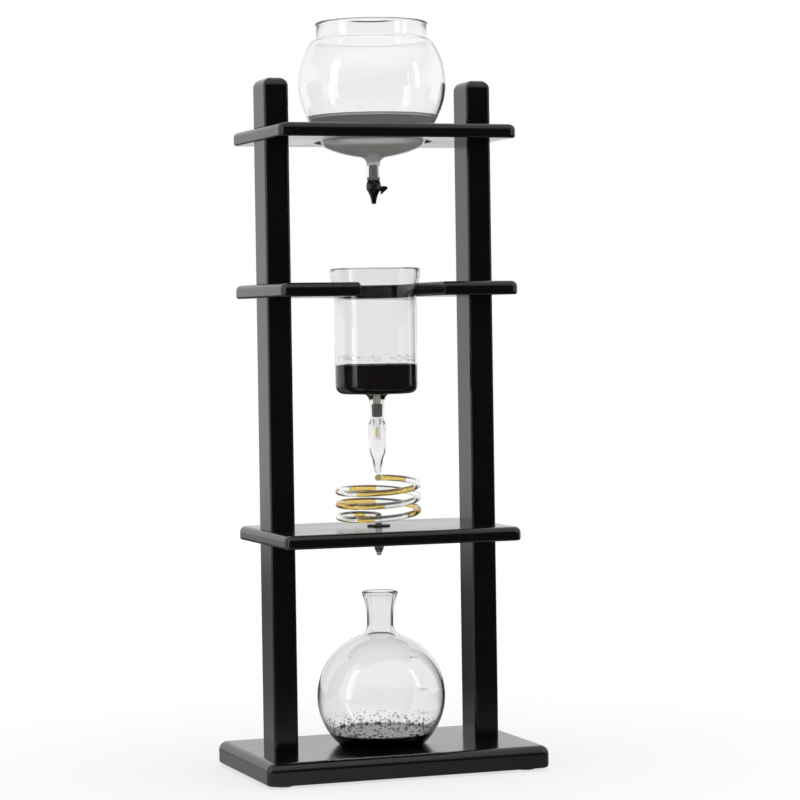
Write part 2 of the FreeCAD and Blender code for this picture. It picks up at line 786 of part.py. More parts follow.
def make_grommet():
    """A rubber bush that grips the coil's nozzle in the lower shelf."""
    body = new_body("coil_grommet")
    hole, outer = dim.nozzle_radius + dim.seat_gap, dim.grommet_hole_radius - dim.close_gap
    flange, thick, length = dim.grommet_flange_radius, dim.grommet_flange_height, -dim.grommet_length
    outline = Outline(hole, length).line(outer, length).line(outer, 0).line(flange, 0)
    outline.line(flange, thick - 0.5).arc(flange - 0.5, thick, 0.5, 1).line(hole, thick)
    revolve(body, outline.line(hole, length))
    place(body, z=lower_top)


class Route:
    """A smooth line of straight runs and arcs in space, joined without a kink."""

    def __init__(self, point, heading):
        self.edges = []
        self.point = point
        self.heading = heading.normalize()

    def run(self, length):
        stop = self.point + self.heading * length
        self.edges.append(Part.LineSegment(self.point, stop).toShape())
        self.point = stop

    def sweep_to(self, point, heading):
        """Two arcs that leave along the present heading and arrive along the new one."""
        heading = heading.normalize()
        gap = point - self.point
        both = self.heading + heading
        spread = 2 * (1 - self.heading.dot(heading))
        pull = gap.dot(both)
        reach = (math.sqrt(pull ** 2 + spread * gap.dot(gap)) - pull) / spread
        first = self.point + self.heading * reach
        last = point - heading * reach
        middle = (first + last) * 0.5
        self.arc(self.point, first, middle)
        self.arc(middle, last, point)
        self.point = point
        self.heading = heading

    def arc(self, start, corner, stop):
        """The arc from start to stop whose tangents meet at the corner."""
        weight = (stop - start).Length / 2 / (corner - start).Length
        crown = (start + corner * (2 * weight) + stop) * (1 / (2 + 2 * weight))
        self.edges.append(Part.Arc(start, crown, stop).toShape())

    def wire(self):
        return Part.Wire(self.edges)

    def tube(self, radius):
        """A round tube along the route, as one unbroken pipe shell."""
        start = self.edges[0].Vertexes[0].Point
        section = Part.Wire(Part.Circle(start, self.edges[0].tangentAt(0), radius).toShape())
        pipe = Part.BRepOffsetAPI.MakePipeShell(self.wire())
        pipe.add(section)
        pipe.build()
        pipe.makeSolid()
        return pipe.shape()


def coil_route():
    """From the slanted inlet on the axis, out to the helix, down its turns and back in to the nozzle."""
    radius, pitch = dim.coil_radius.value, dim.coil_pitch.value
    half_turns = int(DIMENSIONS["coil_half_turns"])
    start_angle = math.radians(dim.coil_start_angle.value)
    drop = pitch / math.tau

    def helix(turned):
        """Point and heading after an angle turned clockwise, seen from above."""
        angle = start_angle - turned
        height = dim.coil_start_height.value - drop * turned
        point = Vector(radius * math.cos(angle), radius * math.sin(angle), height)
        heading = Vector(radius * math.sin(angle), -radius * math.cos(angle), -drop)
        return point, heading

    back = Vector(-math.sin(start_angle), math.cos(start_angle), 0)
    inlet = Vector(0, 0, dim.coil_inlet_height.value)
    route = Route(inlet - back * dim.coil_inlet_run.value, Vector(back))
    route.run(dim.coil_inlet_run.value)
    for quarter in range(half_turns * 2 + 1):
        route.sweep_to(*helix(quarter * math.pi / 2))
    bend = dim.coil_bend_radius.value
    route.sweep_to(back * bend + Vector(0, 0, dim.coil_outlet_height.value), Vector(-back))
    route.sweep_to(Vector(0, 0, dim.coil_outlet_height.value - bend), Vector(0, 0, -1))
    route.run(dim.coil_tail_run.value)
    return route, back


def least_gap(route, radius):
    """The least clear distance between stretches of the tube that aren't neighbours along it."""
    spacing, apart = 1.5, 12
    points = route.wire().discretize(Distance=spacing)
    near = min(
        (points[j] - points[i]).Length
        for i in range(len(points))
        for j in range(i + apart, len(points))
    )
    return near - 2 * radius


def make_coil():
    """The glass coil: one blown tube, its inlet cut on the slant, its end drawn to a nozzle."""
    route, back = coil_route()
    outer, bore_radius = dim.coil_tube_radius.value, dim.coil_tube_bore.value
    print("coil: %d arcs, least gap %.2f mm" % (len(route.edges), least_gap(route, outer)))
    top, wide, tip = dim.nozzle_top.value, dim.nozzle_radius.value, dim.nozzle_tip_radius.value
    neck, end = -dim.nozzle_drop.value, -dim.nozzle_length.value
    wall = outer - bore_radius
    lip, shoulder = outer + dim.nozzle_top_lip.value, dim.nozzle_shoulder.value
    ceiling = top - dim.nozzle_inside_drop.value
    outside = turned([(0, top), (lip, top), (wide, top - shoulder), (wide, neck), (tip, end), (0, end)])
    inside = turned([(0, ceiling), (bore_radius, ceiling), (wide - wall, ceiling - shoulder), (wide - wall, neck),
                     (tip - wall / 2, end - 1), (0, end - 1)])
    shape = route.tube(outer).fuse(outside).cut(route.tube(bore_radius)).cut(inside)
    inlet = Vector(0, 0, dim.coil_inlet_height.value)
    side = outer * 6
    slant = Part.makeBox(side, side, side, Vector(-side / 2, -side / 2, 0))
    slant.Placement = Placement(inlet, Rotation(Vector(0, 0, 1), Vector(0, 0, 1) - back))
    coil = doc.addObject("Part::Feature", "drip_coil")
    coil.Shape = shape.cut(slant).removeSplitter()
    place(coil, z=lower_top)
    name_node(coil, "drip_coil")


def turned(points):
    """A solid turned about Z from a short list of radius and height."""
    corners = [Vector(x, 0, z) for x, z in points]
    return Part.Face(Part.makePolygon(corners + corners[:1])).revolve(Vector(0, 0, 0), Vector(0, 0, 1), 360)


def make_flask():
    """The round serving flask: a ball flattened to a foot, a narrow neck and a flared lip."""
    body = new_body("serving_flask")
    ball, wall, neck = dim.flask_radius, dim.flask_wall, dim.flask_neck_radius
    foot, corner, ring = -dim.flask_centre + dim.close_gap, dim.flask_foot_corner, dim.flask_foot_ring
    rise, bead, lip = dim.flask_foot_rise, dim.flask_lip_bead, dim.flask_lip_radius
    flare, top = dim.flask_flare_height - dim.flask_centre, dim.flask_height - dim.flask_centre
    inner_ball, inner_neck = ball - wall, neck - wall
    corner_z = foot + corner
    corner_r = root((ball - corner) * (ball - corner) - corner_z * corner_z)
    share = ball / (ball - corner)
    inner_share = inner_ball / (ball - corner)
    dish = (ring * ring + rise * rise) / (rise * 2)
    out_neck, out_r, out_z = blend(neck, ball, dim.flask_neck_blend, 1)
    in_neck, in_r, in_z = blend(inner_neck, inner_ball, dim.flask_neck_blend + wall, 1)
    outline = Outline(0, foot + rise).arc(ring, foot, dish, -1).line(corner_r, foot)
    outline.arc(corner_r * share, corner_z * share, corner, 1).arc(ball, 0, ball, 1)
    outline.arc(out_r, out_z, ball, 1).arc(neck, out_neck, dim.flask_neck_blend, -1).line(neck, flare)
    outline.arc(lip - dim.flask_lip_set, top - bead * 2, dim.flask_flare_bend, -1)
    outline.arc(lip - bead, top, bead * 1.15, 1).line(lip - bead * 2, top)
    outline.arc(inner_neck, flare, dim.flask_flare_inside_bend, 1).line(inner_neck, in_neck)
    outline.arc(in_r, in_z, dim.flask_neck_blend + wall, 1).arc(inner_ball, 0, inner_ball, -1)
    outline.arc(corner_r * inner_share, corner_z * inner_share, inner_ball, -1)
    outline.arc(corner_r, foot + wall, corner - wall, -1).line(ring, foot + wall)
    outline.arc(0, foot + wall + rise, dish, 1).line(0, foot + rise)
    revolve(body, outline)
    place(body, z=base_top + dim.flask_centre)


def check_document():
    doc.recompute()
    for item in doc.Objects:
        if "Invalid" in item.State or "Error" in item.State:
            raise RuntimeError("%s failed: %s" % (item.Label, item.State))
    for node in nodes:
        if node.Shape.isNull() or not node.Shape.isValid() or not node.Shape.Solids:
            raise RuntimeError("%s has no valid solid" % node.Label)


def write_parts():
    os.makedirs("parts", exist_ok=True)
    for node in nodes:
        node.Shape.exportStep(os.path.join("parts", node.Label + ".step"))
        box = node.Shape.BoundBox
        print("%-20s %2d solids, z %.1f to %.1f" % (node.Label, len(node.Shape.Solids), box.ZMin, box.ZMax))


make_feet()
make_base()
make_lower_shelf()
make_middle_shelf()
make_top_shelf()
for side, offset in sides.items():
    post_section(side + "_post_lower", offset, base_top, dim.post_lower_length)
    post_section(side + "_post_middle", offset, lower_top, dim.post_middle_length)
    post_section(side + "_post_upper", offset, middle_top, dim.post_upper_length)
    post_top(side + "_post_top", offset)
make_fasteners()
make_dowels()
make_globe()
make_stopper()
make_valve_body()
make_key()
make_chamber()
make_filter()
make_grommet()
make_coil()
make_flask()
check_document()
write_parts()
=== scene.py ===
import math
import random

import bpy
from mathutils import Matrix, Vector


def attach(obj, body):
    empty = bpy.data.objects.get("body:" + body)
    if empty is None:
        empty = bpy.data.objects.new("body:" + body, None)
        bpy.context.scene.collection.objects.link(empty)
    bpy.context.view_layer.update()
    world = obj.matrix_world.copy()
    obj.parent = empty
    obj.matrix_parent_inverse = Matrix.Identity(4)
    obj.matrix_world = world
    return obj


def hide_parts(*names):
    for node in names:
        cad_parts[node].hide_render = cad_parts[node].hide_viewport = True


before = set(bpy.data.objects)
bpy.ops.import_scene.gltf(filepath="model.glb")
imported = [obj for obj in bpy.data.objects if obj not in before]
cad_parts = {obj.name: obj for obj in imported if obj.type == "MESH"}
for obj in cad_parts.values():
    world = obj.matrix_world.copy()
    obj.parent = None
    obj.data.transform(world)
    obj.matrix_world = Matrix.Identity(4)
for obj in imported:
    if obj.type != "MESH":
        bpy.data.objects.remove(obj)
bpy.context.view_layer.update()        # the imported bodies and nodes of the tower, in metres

scene = bpy.context.scene


# Shader nodes as expressions

class Signal:    # a node's output: sums and products of signals add Math nodes
    def __init__(self, tree, socket=None):
        self.tree = tree
        self.socket = socket

    def node(self, kind, inputs=None, output=0, **settings):
        made = self.tree.nodes.new("ShaderNode" + kind)
        for name, value in settings.items():
            setattr(made, name, value)
        for name, value in (inputs or {}).items():
            if isinstance(value, Signal):
                self.tree.links.new(value.socket, made.inputs[name])
            else:
                made.inputs[name].default_value = value
        return Signal(self.tree, made.outputs[output])

    def math(self, operation, first, second):
        return self.node("Math", {0: first, 1: second}, operation=operation)

    def __add__(self, other):
        return self.math("ADD", self, other)

    def __rsub__(self, other):
        return self.math("SUBTRACT", other, self)

    def __mul__(self, other):
        return self.math("MULTIPLY", self, other)

    def stretch(self, low, high, toLow=0.0, toHigh=1.0):    # clamped from one range to another
        inputs = {"Value": self, "From Min": low, "From Max": high, "To Min": toLow, "To Max": toHigh}
        return self.node("MapRange", inputs, clamp=True)

    def mixed(self, first, second):    # two colours by this signal
        return self.node("Mix", {0: self, 6: first, 7: second}, 2, data_type="RGBA")


def linear(part):
    return part / 12.92 if part <= 0.04045 else ((part + 0.055) / 1.055) ** 2.4


def paint(red, green, blue):    # a colour as a screen shows it, from 0 to 255, made linear
    return (*[linear(part / 255) for part in (red, green, blue)], 1)


def newMaterial(name):
    material = bpy.data.materials.new(name)
    material.use_nodes = True
    material.node_tree.nodes.clear()
    return material, Signal(material.node_tree)


def connect(graph, shader, inside=None):
    output = graph.tree.nodes.new("ShaderNodeOutputMaterial")
    graph.tree.links.new(shader.socket, output.inputs["Surface"])
    if inside:
        graph.tree.links.new(inside.socket, output.inputs["Volume"])


def noise(graph, where, scale, detail, roughness):
    inputs = {"Vector": where, "Scale": scale, "Detail": detail, "Roughness": roughness}
    return graph.node("TexNoise", inputs, "Fac")


def lightPath(graph):
    path = graph.tree.nodes.new("ShaderNodeLightPath")
    return {socket.name: Signal(graph.tree, socket) for socket in path.outputs}


def objectPoint(graph, scale=(1, 1, 1)):
    where = graph.node("TexCoord", output="Object")
    return graph.node("Mapping", {"Vector": where, "Scale": scale})


def bump(graph, height, depth, strength=1.0):
    return graph.node("Bump", {"Height": height, "Distance": depth, "Strength": strength})


# Opaque finishes

nearlyAll = (0.3, 0.7)    # where nearly all of a noise's values lie
mostly = (0.35, 0.65)    # and where most of them do

lacquer = {
    "deep": paint(7, 7, 9),
    "worn": paint(15, 15, 18),
    "dust": paint(70, 72, 78),
    "dustShare": 0.35,
    "smooth": 0.11,
    "dull": 0.19,
    "fibreRoughness": 0.03,
    "relief": 0.00006,
    "boardGrain": (9, 240, 240),    # the grain runs where its scale is small
    "postGrain": (240, 240, 9),
}


def makeLacquer(name, grain):    # black lacquer on wood
    material, graph = newMaterial(name)
    fibres = noise(graph, objectPoint(graph, grain), scale=1.0, detail=6.0, roughness=0.62)
    smudges = noise(graph, objectPoint(graph), scale=14.0, detail=4.0, roughness=0.6)
    dust = noise(graph, objectPoint(graph), scale=900.0, detail=2.0, roughness=0.7).stretch(0.66, 0.74)
    colour = (fibres * 0.6 + smudges * 0.4).mixed(lacquer["deep"], lacquer["worn"])
    streaks = fibres.stretch(*nearlyAll, 0.0, lacquer["fibreRoughness"])
    shader = graph.node("BsdfPrincipled", {
        "Base Color": (dust * lacquer["dustShare"]).mixed(colour, lacquer["dust"]),
        "Roughness": streaks + smudges.stretch(*nearlyAll, lacquer["smooth"], lacquer["dull"]),
        "IOR": 1.5,
        "Normal": bump(graph, fibres + smudges * 0.3, lacquer["relief"], strength=0.4),
    })
    connect(graph, shader)
    return material


boardLacquer = makeLacquer("boardLacquer", lacquer["boardGrain"])
postLacquer = makeLacquer("postLacquer", lacquer["postGrain"])


def makeMetal(name, colours, roughness, pitting):
    material, graph = newMaterial(name)
    where = objectPoint(graph)
    mottle = noise(graph, where, scale=160.0, detail=5.0, roughness=0.6)
    fine = noise(graph, where, scale=1400.0, detail=2.0, roughness=0.5)
    shader = graph.node("BsdfPrincipled", {
        "Base Color": mottle.stretch(*mostly).mixed(*colours),
        "Metallic": 1.0,
        "Roughness": mottle.stretch(*nearlyAll, *roughness),
        "Normal": bump(graph, mottle * 0.7 + fine * 0.3, pitting),
    })
    connect(graph, shader)
    return material


gunmetal = makeMetal("gunmetal", (paint(62, 64, 70), paint(96, 98, 104)), (0.24, 0.42), 0.00006)
zincSteel = makeMetal("zincSteel", (paint(168, 171, 176), paint(196, 198, 200)), (0.25, 0.4), 0.00003)
brass = makeMetal("brass", (paint(176, 136, 66), paint(205, 168, 92)), (0.25, 0.4), 0.00003)


def makeMatt(name, colours, grit):    # rubber, bare ceramic and bare wood
    material, graph = newMaterial(name)
    where = objectPoint(graph)
    mottle = noise(graph, where, scale=220.0, detail=4.0, roughness=0.6)
    fine = noise(graph, where, scale=2600.0, detail=2.0, roughness=0.6)
    shader = graph.node("BsdfPrincipled", {
        "Base Color": mottle.stretch(*mostly).mixed(*colours),
        "Roughness": fine.stretch(*nearlyAll, 0.48, 0.66),
        "Normal": bump(graph, fine, grit),
    })
    connect(graph, shader)
    return material


blackRubber = makeMatt("blackRubber", (paint(18, 18, 20), paint(32, 32, 34)), 0.00003)
greyRubber = makeMatt("greyRubber", (paint(92, 96, 88), paint(118, 121, 112)), 0.00004)
ceramic = makeMatt("porousCeramic", (paint(214, 206, 190), paint(232, 226, 214)), 0.00012)
beech = makeMatt("beech", (paint(188, 150, 104), paint(212, 178, 132)), 0.00005)


# Clear finishes: rays from the lamps go straight through, so that glass throws no black shadow

white = (1, 1, 1, 1)
smoky = (0.80, 0.81, 0.81, 1)
amber = (0.94, 0.78, 0.10, 1)
bending = {"glass": 1.47, "silicone": 1.41, "water": 1.333, "coffee": 1.34}
wavy = 0.0003    # height of the waves in blown glass
waveScale = (1, 1, 0.5)


def makeClear(name, colour, ior, tint, density, roughness=0.0, wobble=0.0, milk=None):
    material, graph = newMaterial(name)
    inputs = {"Base Color": colour, "Roughness": roughness, "IOR": ior, "Transmission Weight": 1.0}
    if wobble:    # blown glass is never quite even
        waves = noise(graph, objectPoint(graph, waveScale), scale=26.0, detail=1.0, roughness=0.4)
        inputs["Normal"] = bump(graph, waves, wobble)
    shader = graph.node("BsdfPrincipled", inputs)
    if milk:    # share and colour of what scatters light
        share, cloud = milk
        scattered = graph.node("BsdfDiffuse", {"Color": cloud})
        shader = graph.node("MixShader", {0: share, 1: shader, 2: scattered})
    rays = lightPath(graph)
    through = graph.node("BsdfTransparent", {"Color": colour})
    lit = graph.math("MAXIMUM", rays["Is Shadow Ray"], rays["Is Diffuse Ray"])
    mix = graph.node("MixShader", {0: lit, 1: shader, 2: through})
    connect(graph, mix, graph.node("VolumeAbsorption", {"Color": tint, "Density": density}))
    return material


clearGlass = makeClear("clearGlass", white, bending["glass"], smoky, density=50.0, wobble=wavy)
mistedGlass = makeClear("mistedGlass", white, bending["glass"], (0.80, 0.805, 0.805, 1),
                        density=140.0, wobble=wavy)
groundGlass = makeClear("groundGlass", white, bending["glass"], smoky, density=85.0, roughness=0.3,
                        milk=(0.8, paint(212, 214, 214)))
silicone = makeClear("clearSilicone", paint(222, 224, 224), bending["silicone"], (0.6, 0.61, 0.62, 1),
                     density=260.0, roughness=0.3, milk=(0.7, paint(140, 136, 130)))
waterClear = makeClear("waterClear", white, bending["water"], (0.80, 0.81, 0.83, 1), density=22.0,
                       milk=(0.45, paint(182, 178, 172)))
amberDrip = makeClear("amberDrip", white, bending["coffee"], amber, density=520.0)
landedDrip = makeClear("landedDrip", white, bending["coffee"], amber, density=520.0,
                       milk=(0.5, paint(244, 196, 84)))
paleDrip = makeClear("paleDrip", white, bending["coffee"], (0.93, 0.84, 0.40, 1), density=600.0)
coffeeDark = makeClear("coffeeDark", white, bending["coffee"], (0.36, 0.05, 0.03, 1), density=2400.0)
droplets = makeClear("droplets", paint(225, 222, 222), bending["coffee"], (0.6, 0.5, 0.45, 1), density=300.0)


# Wet grounds and printed ink

def makeGrounds():    # wet coffee grounds: almost black, with a few paler grains
    material, graph = newMaterial("wetGrounds")
    where = objectPoint(graph)
    grains = graph.node("TexVoronoi", {"Vector": where, "Scale": 900.0}, "Distance")
    clumps = noise(graph, where, scale=260.0, detail=4.0, roughness=0.65)
    pale = noise(graph, where, scale=1300.0, detail=1.0, roughness=0.5).stretch(0.68, 0.76)
    colour = clumps.stretch(*nearlyAll).mixed(paint(9, 6, 8), paint(24, 15, 13))
    shader = graph.node("BsdfPrincipled", {
        "Base Color": (pale * 0.5).mixed(colour, paint(96, 70, 48)),
        "Roughness": clumps.stretch(*nearlyAll, 0.3, 0.62),
        "Specular IOR Level": 0.15,
        "Normal": bump(graph, grains * 0.6 + clumps, 0.0005),
    })
    connect(graph, shader)
    return material


def makePrint():    # thin grey ink, worn in places
    material, graph = newMaterial("markInk")
    wear = noise(graph, objectPoint(graph), scale=1500.0, detail=3.0, roughness=0.6)
    shader = graph.node("BsdfPrincipled", {
        "Base Color": wear.stretch(*mostly).mixed(paint(120, 122, 126), paint(160, 162, 166)),
        "Roughness": wear.stretch(*nearlyAll, 0.4, 0.6),
    })
    connect(graph, shader)
    return material


wetGrounds = makeGrounds()
markInk = makePrint()
print("finishes made")


# CAD nodes that stay

postParts = ("lower", "middle", "upper", "top")
nodeFinishes = {
    boardLacquer: ("base_board", "lower_shelf", "middle_shelf", "top_shelf"),
    postLacquer: [f"{side}_post_{part}" for side in ("left", "right") for part in postParts],
    blackRubber: ("foot_pads", "coil_grommet"),
    zincSteel: ("tie_rods", "rod_washers", "rod_nuts"),
    brass: ("post_inserts",),
    beech: ("shelf_dowels", "base_dowels"),
    gunmetal: ("valve_body", "valve_key"),
    silicone: ("valve_stopper",),
    greyRubber: ("filter_sleeve",),
    ceramic: ("ceramic_filter",),
}
for finish, names in nodeFinishes.items():
    for name in names:
        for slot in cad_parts[name].material_slots:
            slot.material = finish
print("frame nodes finished")


# Turned pieces: an outline of radius and height is drawn, then spun round the tower's axis

arcSide = {"turn": 0.26, "length": 0.0035}    # the most that one straight side of an arc turns and measures
wetContact = 0.0002    # a liquid runs this far into its glass, so that no film of air shows between them


class Outline:
    def __init__(self, radius, height):
        self.points = [Vector((radius, height))]

    def line(self, radius, height):
        self.points.append(Vector((radius, height)))
        return self

    def arc(self, radius, height, bend, turn):    # less than a half circle, anticlockwise where turn is 1
        start, stop = self.points[-1], Vector((radius, height))
        chord = stop - start
        rise = math.sqrt(max(bend ** 2 - chord.length_squared / 4, 0))
        centre = (start + stop) / 2 + Vector((-chord.y, chord.x)).normalized() * turn * rise
        sweep = 2 * math.asin(min(chord.length / 2 / bend, 1))
        first = math.atan2(start.y - centre.y, start.x - centre.x)
        count = max(3, math.ceil(sweep / arcSide["turn"]), math.ceil(sweep * bend / arcSide["length"]))
        for number in range(1, count + 1):
            angle = first + turn * sweep * number / count
            self.points.append(centre + bend * Vector((math.cos(angle), math.sin(angle))))
        return self


def blendOf(tube, ball, fillet, side):    # where a fillet leaves a tube on the axis, and a ball
    reach = ball + fillet
    height = math.sqrt(reach ** 2 - (tube + fillet) ** 2)
    return height * side, (tube + fillet) * ball / reach, height * ball / reach * side


def pick(form, *names):
    return [form[name] for name in names]


def deselect():
    for item in bpy.context.selected_objects:
        item.select_set(False)


def choose(piece):
    deselect()
    piece.select_set(True)
    bpy.context.view_layer.objects.active = piece


def selectFaces(piece, wanted):    # ends in object mode
    bpy.ops.object.mode_set(mode="EDIT")
    bpy.ops.mesh.select_mode(type="FACE")
    bpy.ops.mesh.select_all(action="DESELECT")
    bpy.ops.object.mode_set(mode="OBJECT")
    for face in piece.data.polygons:
        face.select = wanted(face)


def spinPiece(name, outline, finish, base, sides):
    points = outline.points
    deselect()
    bpy.ops.mesh.primitive_plane_add(size=0.001, location=(points[0].x, 0, points[0].y + base))
    piece = bpy.context.object
    piece.name = piece.data.name = name
    bpy.ops.object.transform_apply(location=True, rotation=True, scale=True)
    bpy.ops.object.mode_set(mode="EDIT")
    bpy.ops.mesh.select_mode(type="VERT")
    bpy.ops.mesh.select_all(action="SELECT")
    bpy.ops.mesh.merge(type="CENTER")    # the plane becomes the outline's first point
    for before, after in zip(points, points[1:]):
        step = after - before
        bpy.ops.mesh.extrude_vertices_move(TRANSFORM_OT_translate={"value": (step.x, 0, step.y)})
    bpy.ops.mesh.select_all(action="SELECT")
    bpy.ops.mesh.spin(steps=sides, angle=math.tau, center=(0, 0, 0), axis=(0, 0, 1))
    bpy.ops.mesh.select_all(action="SELECT")
    bpy.ops.mesh.remove_doubles(threshold=1e-6)
    bpy.ops.mesh.normals_make_consistent(inside=False)
    bpy.ops.object.mode_set(mode="OBJECT")
    return finishPiece(piece, finish)


def finishPiece(piece, finish, smoothAngle=40):
    choose(piece)
    bpy.ops.object.transform_apply(location=True, rotation=True, scale=True)
    bpy.ops.object.shade_smooth_by_angle(angle=math.radians(smoothAngle))
    piece.data.materials.clear()
    piece.data.materials.append(finish)
    return piece


def joinPieces(pieces):
    choose(pieces[0])
    for piece in pieces:
        piece.select_set(True)
    bpy.ops.object.join()
    return bpy.context.object


def scatter(name, places, finish):    # flat specks, each with its centre, outward direction and half sizes
    deselect()
    bpy.ops.mesh.primitive_ico_sphere_add(subdivisions=2, radius=1, location=(0, 0, 0))
    pattern = bpy.context.object
    specks = []
    for centre, outward, shape in places:
        speck = pattern.copy()
        speck.data = pattern.data.copy()
        scene.collection.objects.link(speck)
        turned = outward.to_track_quat("Z", "Y").to_matrix().to_4x4()
        speck.data.transform(Matrix.Translation(centre) @ turned @ Matrix.Diagonal((*shape, 1)))
        specks.append(speck)
    bpy.data.objects.remove(pattern)
    joined = joinPieces(specks)
    joined.name = name
    return finishPiece(joined, finish, smoothAngle=80)


def dress(piece, body, slot, *nodes):
    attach(piece, body)
    if nodes:
        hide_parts(*nodes)
    return piece


# Water globe

globe = {
    "centre": 0.65082,
    "ball": 0.070,
    "wall": 0.0024,
    "neck": 0.0524,
    "rim": 0.0582,
    "bead": 0.0016,
    "beadBends": (1.02, 1.6),    # outside and inside, times the bead
    "stem": 0.0065,
    "bore": 0.0047,
    "stemEnd": -0.0883,
    "stemBlend": 0.006,
    "capRadius": 0.110,    # the blown bottom is a little flatter than the ball
    "capEdge": (0.0445, -0.0605),
    "knuckle": 0.009,
    "seat": (0.0537, -0.0449),
    "shoulder": (0.05846, 0.0385),
    "shoulderBend": 0.0103,
    "collar": (0.0539, 0.0423),
    "collarBend": 0.0027,
    "neckBottom": 0.0439,
    "waterLevel": -0.0298,
    "meniscus": (0.0026, 0.0019, 0.0028),    # width, height and bend
    "plugTop": -0.0774,
    "sides": 128,
}


def globeSide(form, inset):    # where the parts of the side meet, this far inside the glass
    ball, cap, bend, shoulderBend = pick(form, "ball", "capRadius", "knuckle", "shoulderBend")
    edge, seat, shoulder, collar = map(Vector, pick(form, "capEdge", "seat", "shoulder", "collar"))
    capCentre = Vector((0, edge.y + math.sqrt(cap ** 2 - edge.x ** 2)))
    bendCentre = edge + (capCentre - edge) * bend / cap
    away = seat - bendCentre
    angle = math.atan2(away.y, away.x) - math.acos(bend / away.length)
    knuckle = bendCentre + Vector((math.cos(angle), math.sin(angle))) * (bend - inset)
    edge = capCentre + (edge - capCentre) * (1 - inset / cap)
    shoulderCentre = shoulder * (1 - shoulderBend / ball)
    collar = shoulderCentre + (collar - shoulderCentre) * (1 - inset / shoulderBend)
    inward = 1 - inset / ball
    return capCentre.y, edge, knuckle, seat * inward, shoulder * inward, collar


def makeGlobe(form):
    wall, ball, cap, neck, rim, bead = pick(form, "wall", "ball", "capRadius", "neck", "rim", "bead")
    stem, bore, stemEnd, neckBottom = pick(form, "stem", "bore", "stemEnd", "neckBottom")
    blend, bend, shoulderBend, collarBend = pick(form, "stemBlend", "knuckle", "shoulderBend", "collarBend")
    outerBead, innerBead = form["beadBends"]
    middle, edge, knuckle, seat, shoulder, collar = globeSide(form, 0)
    stemTop, lowRadius, lowHeight = blendOf(stem, cap, blend, -1)
    outline = Outline(bore, stemEnd).line(stem, stemEnd).line(stem, stemTop + middle)
    outline.arc(lowRadius, lowHeight + middle, blend, -1).arc(*edge, cap, 1).arc(*knuckle, bend, 1)
    outline.line(*seat).arc(ball, 0, ball, 1).arc(*shoulder, ball, 1).arc(*collar, shoulderBend, 1)
    outline.arc(neck, neckBottom, collarBend, -1)
    outline.line(neck, rim - bead * 2).arc(neck, rim, bead * outerBead, 1)
    _, edge, knuckle, seat, shoulder, collar = globeSide(form, wall)
    inner, innerNeck = ball - wall, neck - wall
    stemTop, lowRadius, lowHeight = blendOf(bore, cap - wall, blend - wall, -1)
    outline.arc(innerNeck, rim - bead, bead * innerBead, 1).line(innerNeck, neckBottom)
    outline.arc(*collar, collarBend + wall, 1).arc(*shoulder, shoulderBend - wall, -1)
    outline.arc(inner, 0, inner, -1).arc(*seat, inner, -1).line(*knuckle).arc(*edge, bend - wall, -1)
    outline.arc(lowRadius, lowHeight + middle, cap - wall, -1).arc(bore, stemTop + middle, blend - wall, 1)
    return spinPiece("waterGlobe", outline.line(bore, stemEnd), clearGlass, form["centre"], form["sides"])


def makeWater(form):
    inset, bore = form["wall"] - wetContact, form["bore"] + wetContact
    level, low = form["waterLevel"], form["plugTop"]
    ball, cap, fillet = form["ball"] - inset, form["capRadius"] - inset, form["stemBlend"] - inset
    middle, capEdge, knuckle, seat, _, _ = globeSide(form, inset)
    stem, lowRadius, lowHeight = blendOf(bore, cap, fillet, -1)
    edge = math.sqrt(ball ** 2 - level ** 2)
    width, height, bend = form["meniscus"]
    outline = Outline(0, low).line(bore, low).line(bore, stem + middle)
    outline.arc(lowRadius, lowHeight + middle, fillet, -1).arc(*capEdge, cap, 1)
    outline.arc(*knuckle, form["knuckle"] - inset, 1).line(*seat).arc(edge, level, ball, 1)
    outline.arc(edge - width, level - height, bend, 1).line(0, level - height)
    return spinPiece("globeWater", outline, waterClear, form["centre"], form["sides"])


dress(makeGlobe(globe), "water_vessel", "clear_glass", "water_globe")
dress(makeWater(globe), "water_vessel", "clear_glass")
print("globe and water made")


# Brew chamber, its bed of grounds, the drop in its drip tube and the splashes on its wall

chamber = {
    "bottom": 0.357,
    "shell": 0.0392,
    "wall": 0.0022,
    "floor": 0.0025,
    "corner": 0.008,
    "flareLow": 0.0984,
    "flareHigh": 0.1114,
    "rim": 0.04285,
    "top": 0.1193,
    "bead": 0.0016,
    "stem": 0.0073,
    "stemBore": 0.0053,
    "stemFloor": -0.023,
    "root": 0.007,    # round between stem and bottom
    "mouth": 0.0015,    # round at the top of the stem's bore
    "waist": 0.0066,
    "waistTop": 0.004,    # over the stem's floor
    "waistBend": (0.003, 0.006),    # start over the septum, bend
    "neckWall": 0.0014,
    "septum": -0.026,
    "bulb": 0.0082,
    "bulbWall": 0.0012,
    "bulbHalves": (0.006, 0.0095),    # below and above the end of the drip tube
    "bulbShoulder": (0.0007, 0.001, 0.012),    # out from the waist, down from the septum, bend
    "taper": (0.005, 0.012, 0.0266, 0.0253),    # radius and drop where it turns, bends below and above
    "innerTaper": (0.00395, 0.0114, 0.0241),    # radius, drop and bend
    "tip": 0.0016,
    "tipWall": 0.0008,
    "tipEnd": -0.076,
    "tube": 0.0036,
    "tubeBore": 0.0024,
    "tubeEnd": -0.044,
    "bedTop": 0.0270,
    "sides": 112,
}


